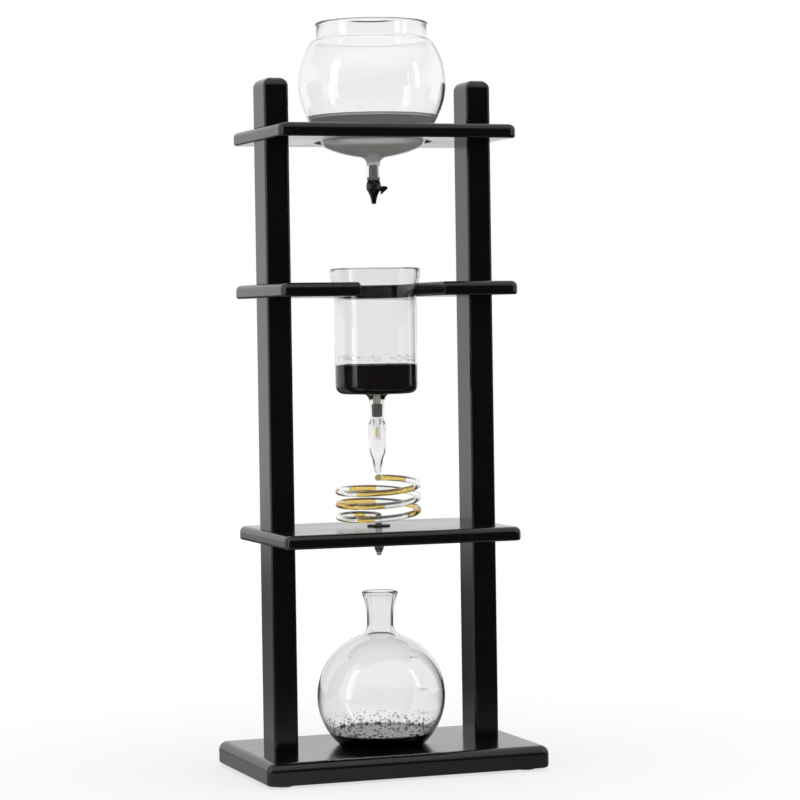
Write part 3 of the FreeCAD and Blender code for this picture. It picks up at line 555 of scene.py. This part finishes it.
def makeChamber(form):
    shell, wall, floor, corner = pick(form, "shell", "wall", "floor", "corner")
    flareLow, flareHigh, rim, top, bead = pick(form, "flareLow", "flareHigh", "rim", "top", "bead")
    root, mouth, waist, neckWall = pick(form, "root", "mouth", "waist", "neckWall")
    stem, stemBore, stemFloor, septum, bulb = pick(form, "stem", "stemBore", "stemFloor", "septum", "bulb")
    tip, tipEnd, tube, tubeBore, tubeEnd = pick(form, "tip", "tipEnd", "tube", "tubeBore", "tubeEnd")
    inner, innerRim = shell - wall, rim - bead * 2
    innerBulb, tipBore = bulb - form["bulbWall"], tip - form["tipWall"]
    below, above = form["bulbHalves"]
    bulbLow, bulbHigh = tubeEnd - below, tubeEnd + above
    turn, drop, lowBend, highBend = form["taper"]
    outline = Outline(tipBore, tipEnd).line(tip, tipEnd)
    outline.arc(turn, bulbLow - drop, lowBend, 1).arc(bulb, bulbLow, highBend, 1)
    out, down, bend = form["bulbShoulder"]
    outline.line(bulb, bulbHigh).arc(waist + out, septum - down, bend, 1)
    start, bend = form["waistBend"]
    outline.arc(waist, septum + start, bend, -1).line(waist, stemFloor + form["waistTop"])
    outline.line(stem, -root).arc(stem + root, 0, root, -1)
    outline.line(shell - corner, 0).arc(shell, corner, corner, 1)
    outline.line(shell, flareLow).line(rim, flareHigh).line(rim, top - bead)
    outline.arc(rim - bead, top, bead, 1).arc(innerRim, top - bead, bead, 1)
    outline.line(innerRim, flareHigh).line(inner, flareLow).line(inner, corner)
    outline.arc(inner - corner + wall, floor, corner - wall, -1)
    outline.line(stemBore + mouth, floor).arc(stemBore, floor - mouth, mouth, 1)
    outline.line(stemBore, stemFloor).line(tubeBore, stemFloor)
    outline.line(tubeBore, tubeEnd).line(tube, tubeEnd).line(tube, septum)
    outline.line(waist - neckWall, septum).line(innerBulb, bulbHigh - down)
    turn, drop, bend = form["innerTaper"]
    outline.line(innerBulb, bulbLow).arc(turn, bulbLow - drop, bend, -1).line(tipBore, tipEnd)
    return spinPiece("brewChamber", outline, mistedGlass, form["bottom"], form["sides"])


grounds = {
    "edge": 0.0016,    # bend where the top meets the wall
    "climb": 0.0006,    # how far the edge stands over the top
    "rings": 12,
    "hole": 0.0045,    # for the filter's stem
    "holeDepth": 0.004,
    "lumps": 0.006,
    "heave": 0.0022,
    "margin": 0.001,
    "sides": 96,
}


def makeBed(form, vessel):    # the grounds stand against the wall and hide the filter
    bottom, shell, wall, top = pick(vessel, "bottom", "shell", "wall", "bedTop")
    edge, foot, corner = shell - wall + wetContact, vessel["floor"] - wetContact, vessel["corner"] - wall
    bend, hole, depth, rings, margin = pick(form, "edge", "hole", "holeDepth", "rings", "margin")
    outline = Outline(hole, foot).line(edge - corner, foot).arc(edge, foot + corner, corner, 1)
    outline.line(edge, top + form["climb"]).arc(edge - bend, top, bend, 1)
    for number in range(1, rings + 1):
        outline.line((edge - bend) * (1 - number / rings), top)
    outline.line(0, foot + depth).line(hole, foot + depth).line(hole, foot)
    bed = spinPiece("coffeeBed", outline, wetGrounds, bottom, form["sides"])
    clouds = bpy.data.textures.new("bedClouds", "CLOUDS")
    clouds.noise_scale = form["lumps"]
    low, wide = bottom + top - margin, edge - margin
    loose = [spot.index for spot in bed.data.vertices if spot.co.z > low and spot.co.xy.length < wide]
    surface = bed.vertex_groups.new(name="top")
    surface.add(loose, 1, "REPLACE")
    heave = bed.modifiers.new("heave", "DISPLACE")
    heave.texture, heave.strength, heave.mid_level = clouds, form["heave"], 0.5
    heave.direction, heave.vertex_group = "Z", surface.name
    choose(bed)
    bpy.ops.object.modifier_apply(modifier=heave.name)
    return bed


runningDrop = {
    "share": 0.66,    # of the tube's bore
    "middle": -0.0367,    # from the chamber's bottom
    "half": 0.0052,
    "tail": (0.0012, 0.003),    # height and bend
    "head": (0.0008, 0.0002, 0.006),    # side and top below the half height, and bend
    "sides": 24,
}


def makeDrop(form, vessel):    # the drop of coffee that runs down the drip tube
    radius, half = vessel["tubeBore"] * form["share"], form["half"]
    tail, tailBend = form["tail"]
    side, top, headBend = form["head"]
    outline = Outline(0, -half).arc(radius, -half + tail, tailBend, 1)
    outline.line(radius, half - side).arc(0, half - top, headBend, 1)
    return spinPiece("tubeDrop", outline, paleDrip, vessel["bottom"] + form["middle"], form["sides"])


splashes = {
    "seed": 8,
    "count": 190,
    "gap": 0.0001,    # from the wall
    "size": (0.0002, 0.0006),
    "height": (0.002, 0.011, 0.0062),    # over the grounds: least, most and likeliest
    "width": (0.8, 2.2),    # times the size, as is the depth
    "depth": 0.5,
}


def makeSplashes(form, vessel):    # fine drops on the wall, just over the grounds
    chance = random.Random(form["seed"])
    inner, depth, places = vessel["shell"] - vessel["wall"] - form["gap"], form["depth"], []
    for _ in range(form["count"]):
        angle, size = chance.uniform(0, math.tau), chance.uniform(*form["size"])
        outward = Vector((math.cos(angle), math.sin(angle), 0))
        height = vessel["bottom"] + vessel["bedTop"] + chance.triangular(*form["height"])
        centre = outward * (inner - size * depth) + Vector((0, 0, height))
        places.append((centre, outward, (size * chance.uniform(*form["width"]), size, size * depth)))
    return scatter("chamberSplashes", places, paleDrip)


dress(makeChamber(chamber), "chamber", "clear_glass", "brew_chamber")
dress(makeBed(grounds, chamber), "filter", "porous_ceramic")
dress(makeDrop(runningDrop, chamber), "chamber", "clear_glass")
dress(makeSplashes(splashes, chamber), "chamber", "clear_glass")
print("chamber made")


# The photograph's view, which the coil's lean and the camera both use

view = {
    "lens": 127.889,
    "sensor": 36.0,
    "azimuth": math.radians(-19.78122),
    "elevation": math.radians(1.49944),
    "roll": math.radians(-0.85456),
    "distance": 2.707236,
    "targetHeight": 0.350608,
    "targetSide": 0.022076,
    "nearest": 0.05,
    "farthest": 60,
}


# Glass coil: one line for the tube, its bore and the coffee in it

coil = {
    "radius": 0.038,
    "tube": 0.003,
    "bore": 0.0019,
    "pitch": 0.0122,
    "startAngle": math.radians(-20),
    "top": 0.2705,
    "turned": 900,    # degrees of helix, clockwise from above
    "inletTop": 0.277,
    "inletRun": 0.005,
    "outlet": 0.2401,
    "bend": 0.0066,
    "bendSteps": 6,
    "step": 5,
    "lean": math.tan(math.radians(5)),    # the coil hangs higher at the back
    "slugs": [    # where the coffee starts and stops, in degrees along the helix
        (-174, -66), (32, 120), (170, 186), (221, 266), (440, 625), (673, 722), (726, 763), (815, 839),
        (975, 1010),
    ],
    "slugGap": 0.00006,
    "landed": (1.15, 0.0002, 0.6),    # width times the bore, rise, and height times the width
    "facing": 0.98,    # a face this square to the cut belongs to it
}
nozzle = [    # height, outer radius, inner radius
    (0.2331, 0.0032, 0.0019), (0.2322, 0.0041, 0.0019), (0.2306, 0.0047, 0.0019), (0.2265, 0.0047, 0.0021),
    (0.2250, 0.0047, 0.0034), (0.2110, 0.0047, 0.0036), (0.2092, 0.0043, 0.0033), (0.2055, 0.0027, 0.0019),
    (0.2030, 0.0018, 0.0012),
]
coilSide = Vector((math.cos(coil["startAngle"]), math.sin(coil["startAngle"]), 0))
coilBack = Vector((-math.sin(coil["startAngle"]), math.cos(coil["startAngle"]), 0))
upright = Vector((0, 0, 1))
inletCut = (upright - coilBack).normalized()    # the inlet is cut on the slant


def leant(form, point):
    depth = Vector((math.sin(-view["azimuth"]), math.cos(view["azimuth"]), 0)).dot(point)
    return point + Vector((0, 0, form["lean"] * depth * (point.xy.length / form["radius"]) ** 2))


def eased(share):    # from 0 to 1, level at both ends
    return share ** 2 * (3 - 2 * share)


def coilPoint(form, turned):    # below 0 is the inlet's half turn, past the helix the outlet's
    radius, pitch, top, helix, inletTop = pick(form, "radius", "pitch", "top", "turned", "inletTop")
    slope = pitch / 4    # what a half turn of half the radius drops at the helix's slope
    if turned < 0:
        share = 1 + turned / 180
        angle = math.pi * (1 - share)
        height = inletTop - (inletTop - top) * eased(share) - slope * share ** 2 * (share - 1)
        across, along = radius / 2 * (1 + math.cos(angle)), math.sin(angle) * radius / 2
        return leant(form, coilSide * across + coilBack * along + Vector((0, 0, height)))
    if turned <= helix:
        angle = form["startAngle"] - math.radians(turned)
        height = top - pitch * turned / 360
        return leant(form, Vector((radius * math.cos(angle), radius * math.sin(angle), height)))
    share = (turned - helix) / 180
    last = top - pitch * helix / 360
    height = last + (form["outlet"] - last) * eased(share) - slope * share * (1 - share) ** 2
    across = -radius / 2 * (1 + math.cos(math.pi * share))
    along = math.sin(math.pi * share) * radius / 2 + form["bend"] * eased(share)
    return leant(form, coilSide * across + coilBack * along + Vector((0, 0, height)))


def coilLine(form, start, stop):
    count = max(2, round((stop - start) / form["step"]))
    return [coilPoint(form, start + (stop - start) * number / count) for number in range(count + 1)]


def tubeMesh(name, points, radii, caps=False, roundness=6):
    curve = bpy.data.curves.new(name, "CURVE")
    curve.dimensions, curve.twist_mode = "3D", "MINIMUM"
    curve.bevel_depth, curve.bevel_resolution, curve.use_fill_caps = 1.0, roundness, caps
    spline = curve.splines.new("POLY")
    spline.points.add(len(points) - 1)
    for slot, point, radius in zip(spline.points, points, radii):
        slot.co, slot.radius = (*point, 1), radius
    piece = bpy.data.objects.new(name, curve)
    scene.collection.objects.link(piece)
    choose(piece)
    bpy.ops.object.convert(target="MESH")
    return bpy.context.object


def closeEnd(piece, between, isInlet):    # a ring of faces closes the wall above this height, or below it
    bpy.ops.object.mode_set(mode="EDIT")
    bpy.ops.mesh.select_mode(type="EDGE")
    bpy.ops.mesh.select_all(action="DESELECT")
    bpy.ops.mesh.select_non_manifold()
    bpy.ops.object.mode_set(mode="OBJECT")
    for edge in piece.data.edges:
        high = piece.data.vertices[edge.vertices[0]].co.z > between
        edge.select = edge.select and high == isInlet
    bpy.ops.object.mode_set(mode="EDIT")
    bpy.ops.mesh.bridge_edge_loops()
    bpy.ops.object.mode_set(mode="OBJECT")


def makeCoil(form):
    bend, steps, helix, outlet = pick(form, "bend", "bendSteps", "turned", "outlet")
    inlet, bendCentre = upright * form["inletTop"], coilBack * bend + upright * (outlet - bend)
    line = [inlet - coilBack * form["inletRun"]] + coilLine(form, -180, helix + 180)
    for number in range(1, steps + 1):
        angle = math.pi / 2 * number / steps
        line.append(bendCentre + bend * (upright * math.cos(angle) - coilBack * math.sin(angle)))
    tail = [Vector((0, 0, height)) for height, _, _ in nozzle]
    outer = tubeMesh("dripCoil", line + tail, [form["tube"]] * len(line) + [size for _, size, _ in nozzle])
    inner = tubeMesh("coilBore", line + tail, [form["bore"]] * len(line) + [size for _, _, size in nozzle])
    for wall in (outer, inner):
        choose(wall)
        selectFaces(wall, lambda face: (face.center - inlet).length < form["radius"] / 3)
        bpy.ops.object.mode_set(mode="EDIT")
        bpy.ops.mesh.bisect(plane_co=inlet, plane_no=upright - coilBack, clear_outer=True)
        bpy.ops.object.mode_set(mode="OBJECT")
    joinPieces([outer, inner])
    for isInlet in (True, False):
        closeEnd(outer, outlet, isInlet)
    bpy.ops.object.mode_set(mode="EDIT")
    bpy.ops.mesh.select_all(action="SELECT")
    bpy.ops.mesh.normals_make_consistent(inside=False)
    bpy.ops.object.mode_set(mode="OBJECT")
    finishPiece(outer, clearGlass)
    outer.data.materials.append(groundGlass)    # the cut end is ground
    for face in outer.data.polygons:
        if (face.center - inlet).length < form["tube"] * 2 and face.normal.dot(inletCut) > form["facing"]:
            face.material_index = 1
    return outer


def makeSlugs(form):
    slugs = []
    for start, stop in form["slugs"]:
        line = coilLine(form, start, stop)
        radii = [form["bore"] - form["slugGap"]] * len(line)
        slugs.append(tubeMesh("coilCoffee", line, radii, caps=True, roundness=4))
    return finishPiece(joinPieces(slugs), amberDrip)


def makeLanded(form):    # a drop that fills the inlet's mouth
    width, rise, height = form["landed"]
    size, centre = form["bore"] * width, upright * form["inletTop"] + inletCut * rise
    return scatter("inletDrop", [(centre, inletCut, (size, size, size * height))], landedDrip)


dress(makeCoil(coil), "coil", "clear_glass", "drip_coil")
dress(makeSlugs(coil), "coil", "clear_glass")
dress(makeLanded(coil), "coil", "clear_glass")
print("coil made")


# Serving flask, its coffee, the wet specks on its wall and its volume marks

flask = {
    "centre": 0.0685,
    "ball": 0.061,
    "wall": 0.002,
    "foot": -0.0454,
    "corner": 0.008,
    "ring": 0.030,
    "rise": 0.002,
    "neck": 0.0125,
    "neckBlend": 0.010,
    "flare": 0.075,
    "lip": 0.0168,
    "lipTuck": 0.0002,
    "top": 0.1005,
    "bead": 0.0016,
    "beadBend": 1.15,    # times the bead
    "coffeeLevel": -0.0329,
    "coffeeFoot": (0.78, 0.0002),    # share of the rise half way to the ring, and the lift at the ring
    "coffeeEdge": (0.0007, 0.0006, 0.0008),    # width, height and bend
    "sides": 128,
    "coffeeSides": 96,
}


def flaskFoot(form, wall):    # where the foot's corner is centred, then where it meets the ball
    ball, corner, low = form["ball"], form["corner"], form["foot"] + form["corner"]
    centre = math.sqrt((ball - corner) ** 2 - low ** 2)
    share = (ball - wall) / (ball - corner)
    return centre, centre * share, low * share


def trumpetBend(out, up):    # an arc that starts upright and widens by this much
    return (out ** 2 + up ** 2) / (out * 2)


def makeFlask(form):
    ball, wall, foot, corner, ring, rise = pick(form, "ball", "wall", "foot", "corner", "ring", "rise")
    neck, blend, flare, lip, top, bead = pick(form, "neck", "neckBlend", "flare", "lip", "top", "bead")
    inner, innerNeck, innerLip = ball - wall, neck - wall, lip - bead * 2
    dish = (ring ** 2 + rise ** 2) / (rise * 2)
    cornerRadius, footRadius, footHeight = flaskFoot(form, 0)
    neckLow, blendRadius, blendHeight = blendOf(neck, ball, blend, 1)
    outline = Outline(0, foot + rise).arc(ring, foot, dish, -1).line(cornerRadius, foot)
    outline.arc(footRadius, footHeight, corner, 1).arc(ball, 0, ball, 1)
    outline.arc(blendRadius, blendHeight, ball, 1).arc(neck, neckLow, blend, -1).line(neck, flare)
    outerLip, high = lip - form["lipTuck"], top - bead * 2
    outline.arc(outerLip, high, trumpetBend(outerLip - neck, high - flare), -1)
    outline.arc(lip - bead, top, bead * form["beadBend"], 1).line(innerLip, top)
    _, footRadius, footHeight = flaskFoot(form, wall)
    neckLow, blendRadius, blendHeight = blendOf(innerNeck, inner, blend + wall, 1)
    outline.arc(innerNeck, flare, trumpetBend(innerLip - innerNeck, top - flare), 1).line(innerNeck, neckLow)
    outline.arc(blendRadius, blendHeight, blend + wall, 1).arc(inner, 0, inner, -1)
    outline.arc(footRadius, footHeight, inner, -1).arc(cornerRadius, foot + wall, corner - wall, -1)
    outline.line(ring, foot + wall).arc(0, foot + wall + rise, dish, 1)
    return spinPiece("servingFlask", outline, mistedGlass, form["centre"], form["sides"])


def makeCoffee(form):
    wall, ring, rise, level = form["wall"] - wetContact, form["ring"], form["rise"], form["coffeeLevel"]
    ball, foot = form["ball"] - wall, form["foot"] + wall
    cornerRadius, footRadius, footHeight = flaskFoot(form, wall)
    edge = math.sqrt(ball ** 2 - level ** 2)
    share, lift = form["coffeeFoot"]
    width, height, bend = form["coffeeEdge"]
    outline = Outline(0, foot + rise).line(ring / 2, foot + rise * share).line(ring, foot + lift)
    outline.line(cornerRadius, foot).arc(footRadius, footHeight, form["corner"] - wall, 1)
    outline.arc(edge, level, ball, 1).arc(edge - width, level - height, bend, 1).line(0, level - height)
    return spinPiece("flaskCoffee", outline, coffeeDark, form["centre"], form["coffeeSides"])


clinging = {
    "seed": 21,
    "count": 430,
    "gap": 0.0001,    # from the wall
    "start": 0.0005,    # below the coffee's level
    "climb": 0.0135,
    "crowding": 1.7,    # more of them lie low
    "size": (0.0003, 0.0012),
    "shrink": (1.25, 0.016),    # times the size at the coffee, and how fast that falls with height
    "width": (0.8, 1.9),    # times the size, as are the depth and how far the middle stands in
    "depth": 0.55,
    "inward": 0.56,
}


def makeSpecks(form, vessel):    # drops and bubbles that cling to the wall over the coffee
    chance = random.Random(form["seed"])
    inner, level, places = vessel["ball"] - vessel["wall"] - form["gap"], vessel["coffeeLevel"], []
    largest, fall = form["shrink"]
    for _ in range(form["count"]):
        height = level - form["start"] + form["climb"] * chance.random() ** form["crowding"]
        angle = chance.uniform(0, math.tau)
        size = chance.uniform(*form["size"]) * (largest - (height - level) / fall)
        across = math.sqrt(inner ** 2 - height ** 2)
        outward = Vector((math.cos(angle) * across, math.sin(angle) * across, height)) / inner
        centre = outward * (inner - size * form["inward"]) + Vector((0, 0, vessel["centre"]))
        places.append((centre, outward, (size * chance.uniform(*form["width"]), size, size * form["depth"])))
    return scatter("flaskSpecks", places, droplets)


marks = {
    "heights": {"800": 0.0402, "600": 0.0112, "400": -0.0110},
    "angle": math.radians(-67),
    "faint": (math.radians(-148.7), 0.0406),    # angle and height of a worn one
    "size": 0.0034,
    "dash": (-2.2, 0.7, 0.07),    # place, length and thickness, times the size
    "ink": 0.00006,    # off the glass
}


def makeMark(form, vessel, name, words, angle, height):    # letters laid on the outside of the ball
    size, ball = form["size"], vessel["ball"]
    place, length, thickness = form["dash"]
    deselect()
    bpy.ops.object.text_add(location=(0, 0, 0))
    text = bpy.context.object
    text.data.body, text.data.size, text.data.align_x, text.data.align_y = words, size, "CENTER", "CENTER"
    bpy.ops.object.convert(target="MESH")
    mark = bpy.context.object
    bpy.ops.mesh.primitive_plane_add(size=1, location=(size * place, 0, 0))
    dash = bpy.context.object
    dash.scale = (size * length, size * thickness, 1)
    bpy.ops.object.transform_apply(location=True, rotation=True, scale=True)
    joinPieces([mark, dash])
    bpy.ops.object.mode_set(mode="EDIT")
    bpy.ops.mesh.select_all(action="SELECT")
    bpy.ops.mesh.subdivide(number_cuts=1)
    bpy.ops.object.mode_set(mode="OBJECT")
    reach, around = ball + form["ink"], math.sqrt(ball ** 2 - height ** 2)
    for vertex in mark.data.vertices:
        turned = angle + vertex.co.x / around
        up = math.asin(height / ball) + vertex.co.y / ball
        flat, high = reach * math.cos(up), vessel["centre"] + reach * math.sin(up)
        vertex.co = (flat * math.cos(turned), flat * math.sin(turned), high)
    mark.name = name
    return finishPiece(mark, markInk)


dress(makeFlask(flask), "flask", "clear_glass", "serving_flask")
dress(makeCoffee(flask), "flask", "clear_glass")
dress(makeSpecks(clinging, flask), "flask", "clear_glass")
for number, height in marks["heights"].items():
    mark = makeMark(marks, flask, "volumeMark" + number, number + " ml", marks["angle"], height)
    dress(mark, "flask", "clear_glass")
dress(makeMark(marks, flask, "faintMark", "ml", *marks["faint"]), "flask", "clear_glass")
print("flask made")


# Camera

def makeCamera(shot):
    azimuth, elevation, roll = pick(shot, "azimuth", "elevation", "roll")
    side, level = Vector((math.cos(azimuth), math.sin(azimuth), 0)), math.cos(elevation)
    back = Vector((math.sin(azimuth) * level, -math.cos(azimuth) * level, math.sin(elevation)))
    up = back.cross(side)
    right = side * math.cos(roll) + up * math.sin(roll)
    above = up * math.cos(roll) - side * math.sin(roll)
    place = side * shot["targetSide"] + Vector((0, 0, shot["targetHeight"])) + back * shot["distance"]
    data = bpy.data.cameras.new("camera")
    data.lens, data.sensor_width = pick(shot, "lens", "sensor")
    data.clip_start, data.clip_end = pick(shot, "nearest", "farthest")
    camera = bpy.data.objects.new("camera", data)
    scene.collection.objects.link(camera)
    camera.matrix_world = Matrix.Translation(place) @ Matrix((right, above, back)).transposed().to_4x4()
    scene.camera = camera


makeCamera(view)


# Pale floor, white surround and soft lamps

studio = {
    "ambient": 0.62,    # of the light that reaches matt faces
    "front": 0.03,    # what glossy faces see of the dark room before the tower
    "frontDepth": (-0.75, 0.15),    # share of a direction towards the back, from the dark room to the white
    "frontHeight": (0.22, 0.6),    # upward share of a direction, where the dark room ends
    "floorTone": paint(232, 232, 232),
    "floorSize": 40,
    "floorHeight": -0.0002,
    "shadowShare": 0.30,
    "shadowReach": (0.15, 0.55),    # from the middle of the base, the shadow fades into white
    "frontFloor": (-0.09, -0.3),    # the floor before the tower is mirrored dark
    "backFloor": (4.0, 2.0),    # and the near part of the floor behind it in part
    "backSlant": 0.36,
    "backSide": (-0.2, 0.1, 0.5, 0.92),    # from left to right, and how dark at each
    "lamps": {    # place, size, power and colour
        "leftStrip": ((-1.5, -0.25, 0.75), (0.35, 1.5), 3.4, (1.0, 0.99, 0.97)),
        "rightStrip": ((1.3, -0.9, 0.9), (0.22, 0.9), 1.7, (0.97, 0.98, 1.0)),
        "overhead": ((0.1, -0.1, 1.9), (1.2, 1.0), 14, (1.0, 1.0, 1.0)),
    },
    "aim": (0, 0, 0.4),
    "bounces": 28,
}


def makeWorld(room):
    world = bpy.data.worlds.new("surround")
    world.use_nodes = True
    world.node_tree.nodes.clear()
    graph = Signal(world.node_tree)
    direction = graph.node("TexCoord", output="Generated")
    depth = graph.node("SeparateXYZ", {0: direction}, "Y").stretch(*room["frontDepth"], room["front"], 1.0)
    height = graph.node("SeparateXYZ", {0: direction}, "Z").stretch(*room["frontHeight"])
    surround = graph.math("MAXIMUM", depth, height)
    rays = lightPath(graph)
    seen = graph.math("MAXIMUM", rays["Is Camera Ray"], rays["Is Transmission Ray"])
    plain = graph.math("MAXIMUM", seen, room["ambient"])
    mirrored = rays["Glossy Depth"].stretch(0.0, 1.0)
    level = mirrored * surround + (1 - mirrored) * plain    # the room behind the camera is dark
    background = graph.node("Background", {"Color": white, "Strength": level})
    output = graph.tree.nodes.new("ShaderNodeOutputWorld")
    graph.tree.links.new(background.socket, output.inputs["Surface"])
    scene.world = world


def makeFloor(room):
    deselect()
    bpy.ops.mesh.primitive_plane_add(size=room["floorSize"], location=(0, 0, room["floorHeight"]))
    floor = bpy.context.object
    floor.name = "floor"
    material, graph = newMaterial("paleFloor")
    where = graph.node("TexCoord", output="Object")
    depth = graph.node("SeparateXYZ", {0: where}, "Y")
    side = graph.node("SeparateXYZ", {0: where}, "X")
    spread = graph.node("VectorMath", {0: where}, "Value", operation="LENGTH")
    lit = graph.node("BsdfDiffuse", {"Color": room["floorTone"]})
    glow = graph.node("Emission", {"Color": white, "Strength": 1.0})
    dark = graph.node("Emission", {"Color": white, "Strength": room["front"]})
    rays = lightPath(graph)
    mirrored = rays["Glossy Depth"].stretch(0.0, 1.0)
    across = (side + depth * room["backSlant"]).stretch(*room["backSide"])
    behind = spread.stretch(*room["backFloor"]) * across
    shade = graph.math("MAXIMUM", depth.stretch(*room["frontFloor"]), behind)
    ahead = graph.node("MixShader", {0: mirrored * shade, 1: glow, 2: dark})
    clear = graph.math("MAXIMUM", rays["Is Glossy Ray"], rays["Is Transmission Ray"])
    clear = graph.math("MAXIMUM", rays["Is Camera Ray"], clear)
    share = spread.stretch(*room["shadowReach"], 1 - room["shadowShare"], 1.0)
    connect(graph, graph.node("MixShader", {0: clear * share, 1: lit, 2: ahead}))
    floor.data.materials.append(material)


def makeLamps(room):
    for name, (place, size, power, colour) in room["lamps"].items():
        data = bpy.data.lights.new(name, "AREA")
        data.shape, data.size, data.size_y, data.energy, data.color = "RECTANGLE", *size, power, colour
        lamp = bpy.data.objects.new(name, data)
        scene.collection.objects.link(lamp)
        towards = Vector(room["aim"]) - Vector(place)
        lamp.matrix_world = Matrix.Translation(place) @ towards.to_track_quat("-Z", "Y").to_matrix().to_4x4()
        lamp.visible_camera = False
        lamp.visible_glossy = lamp.visible_transmission = name != "overhead"    # which doesn't show in glass


makeWorld(studio)
makeFloor(studio)
makeLamps(studio)
scene.view_settings.view_transform = "Standard"
scene.cycles.max_bounces = studio["bounces"]
scene.cycles.transmission_bounces = studio["bounces"]
scene.cycles.transparent_max_bounces = studio["bounces"]
print("camera and light set")
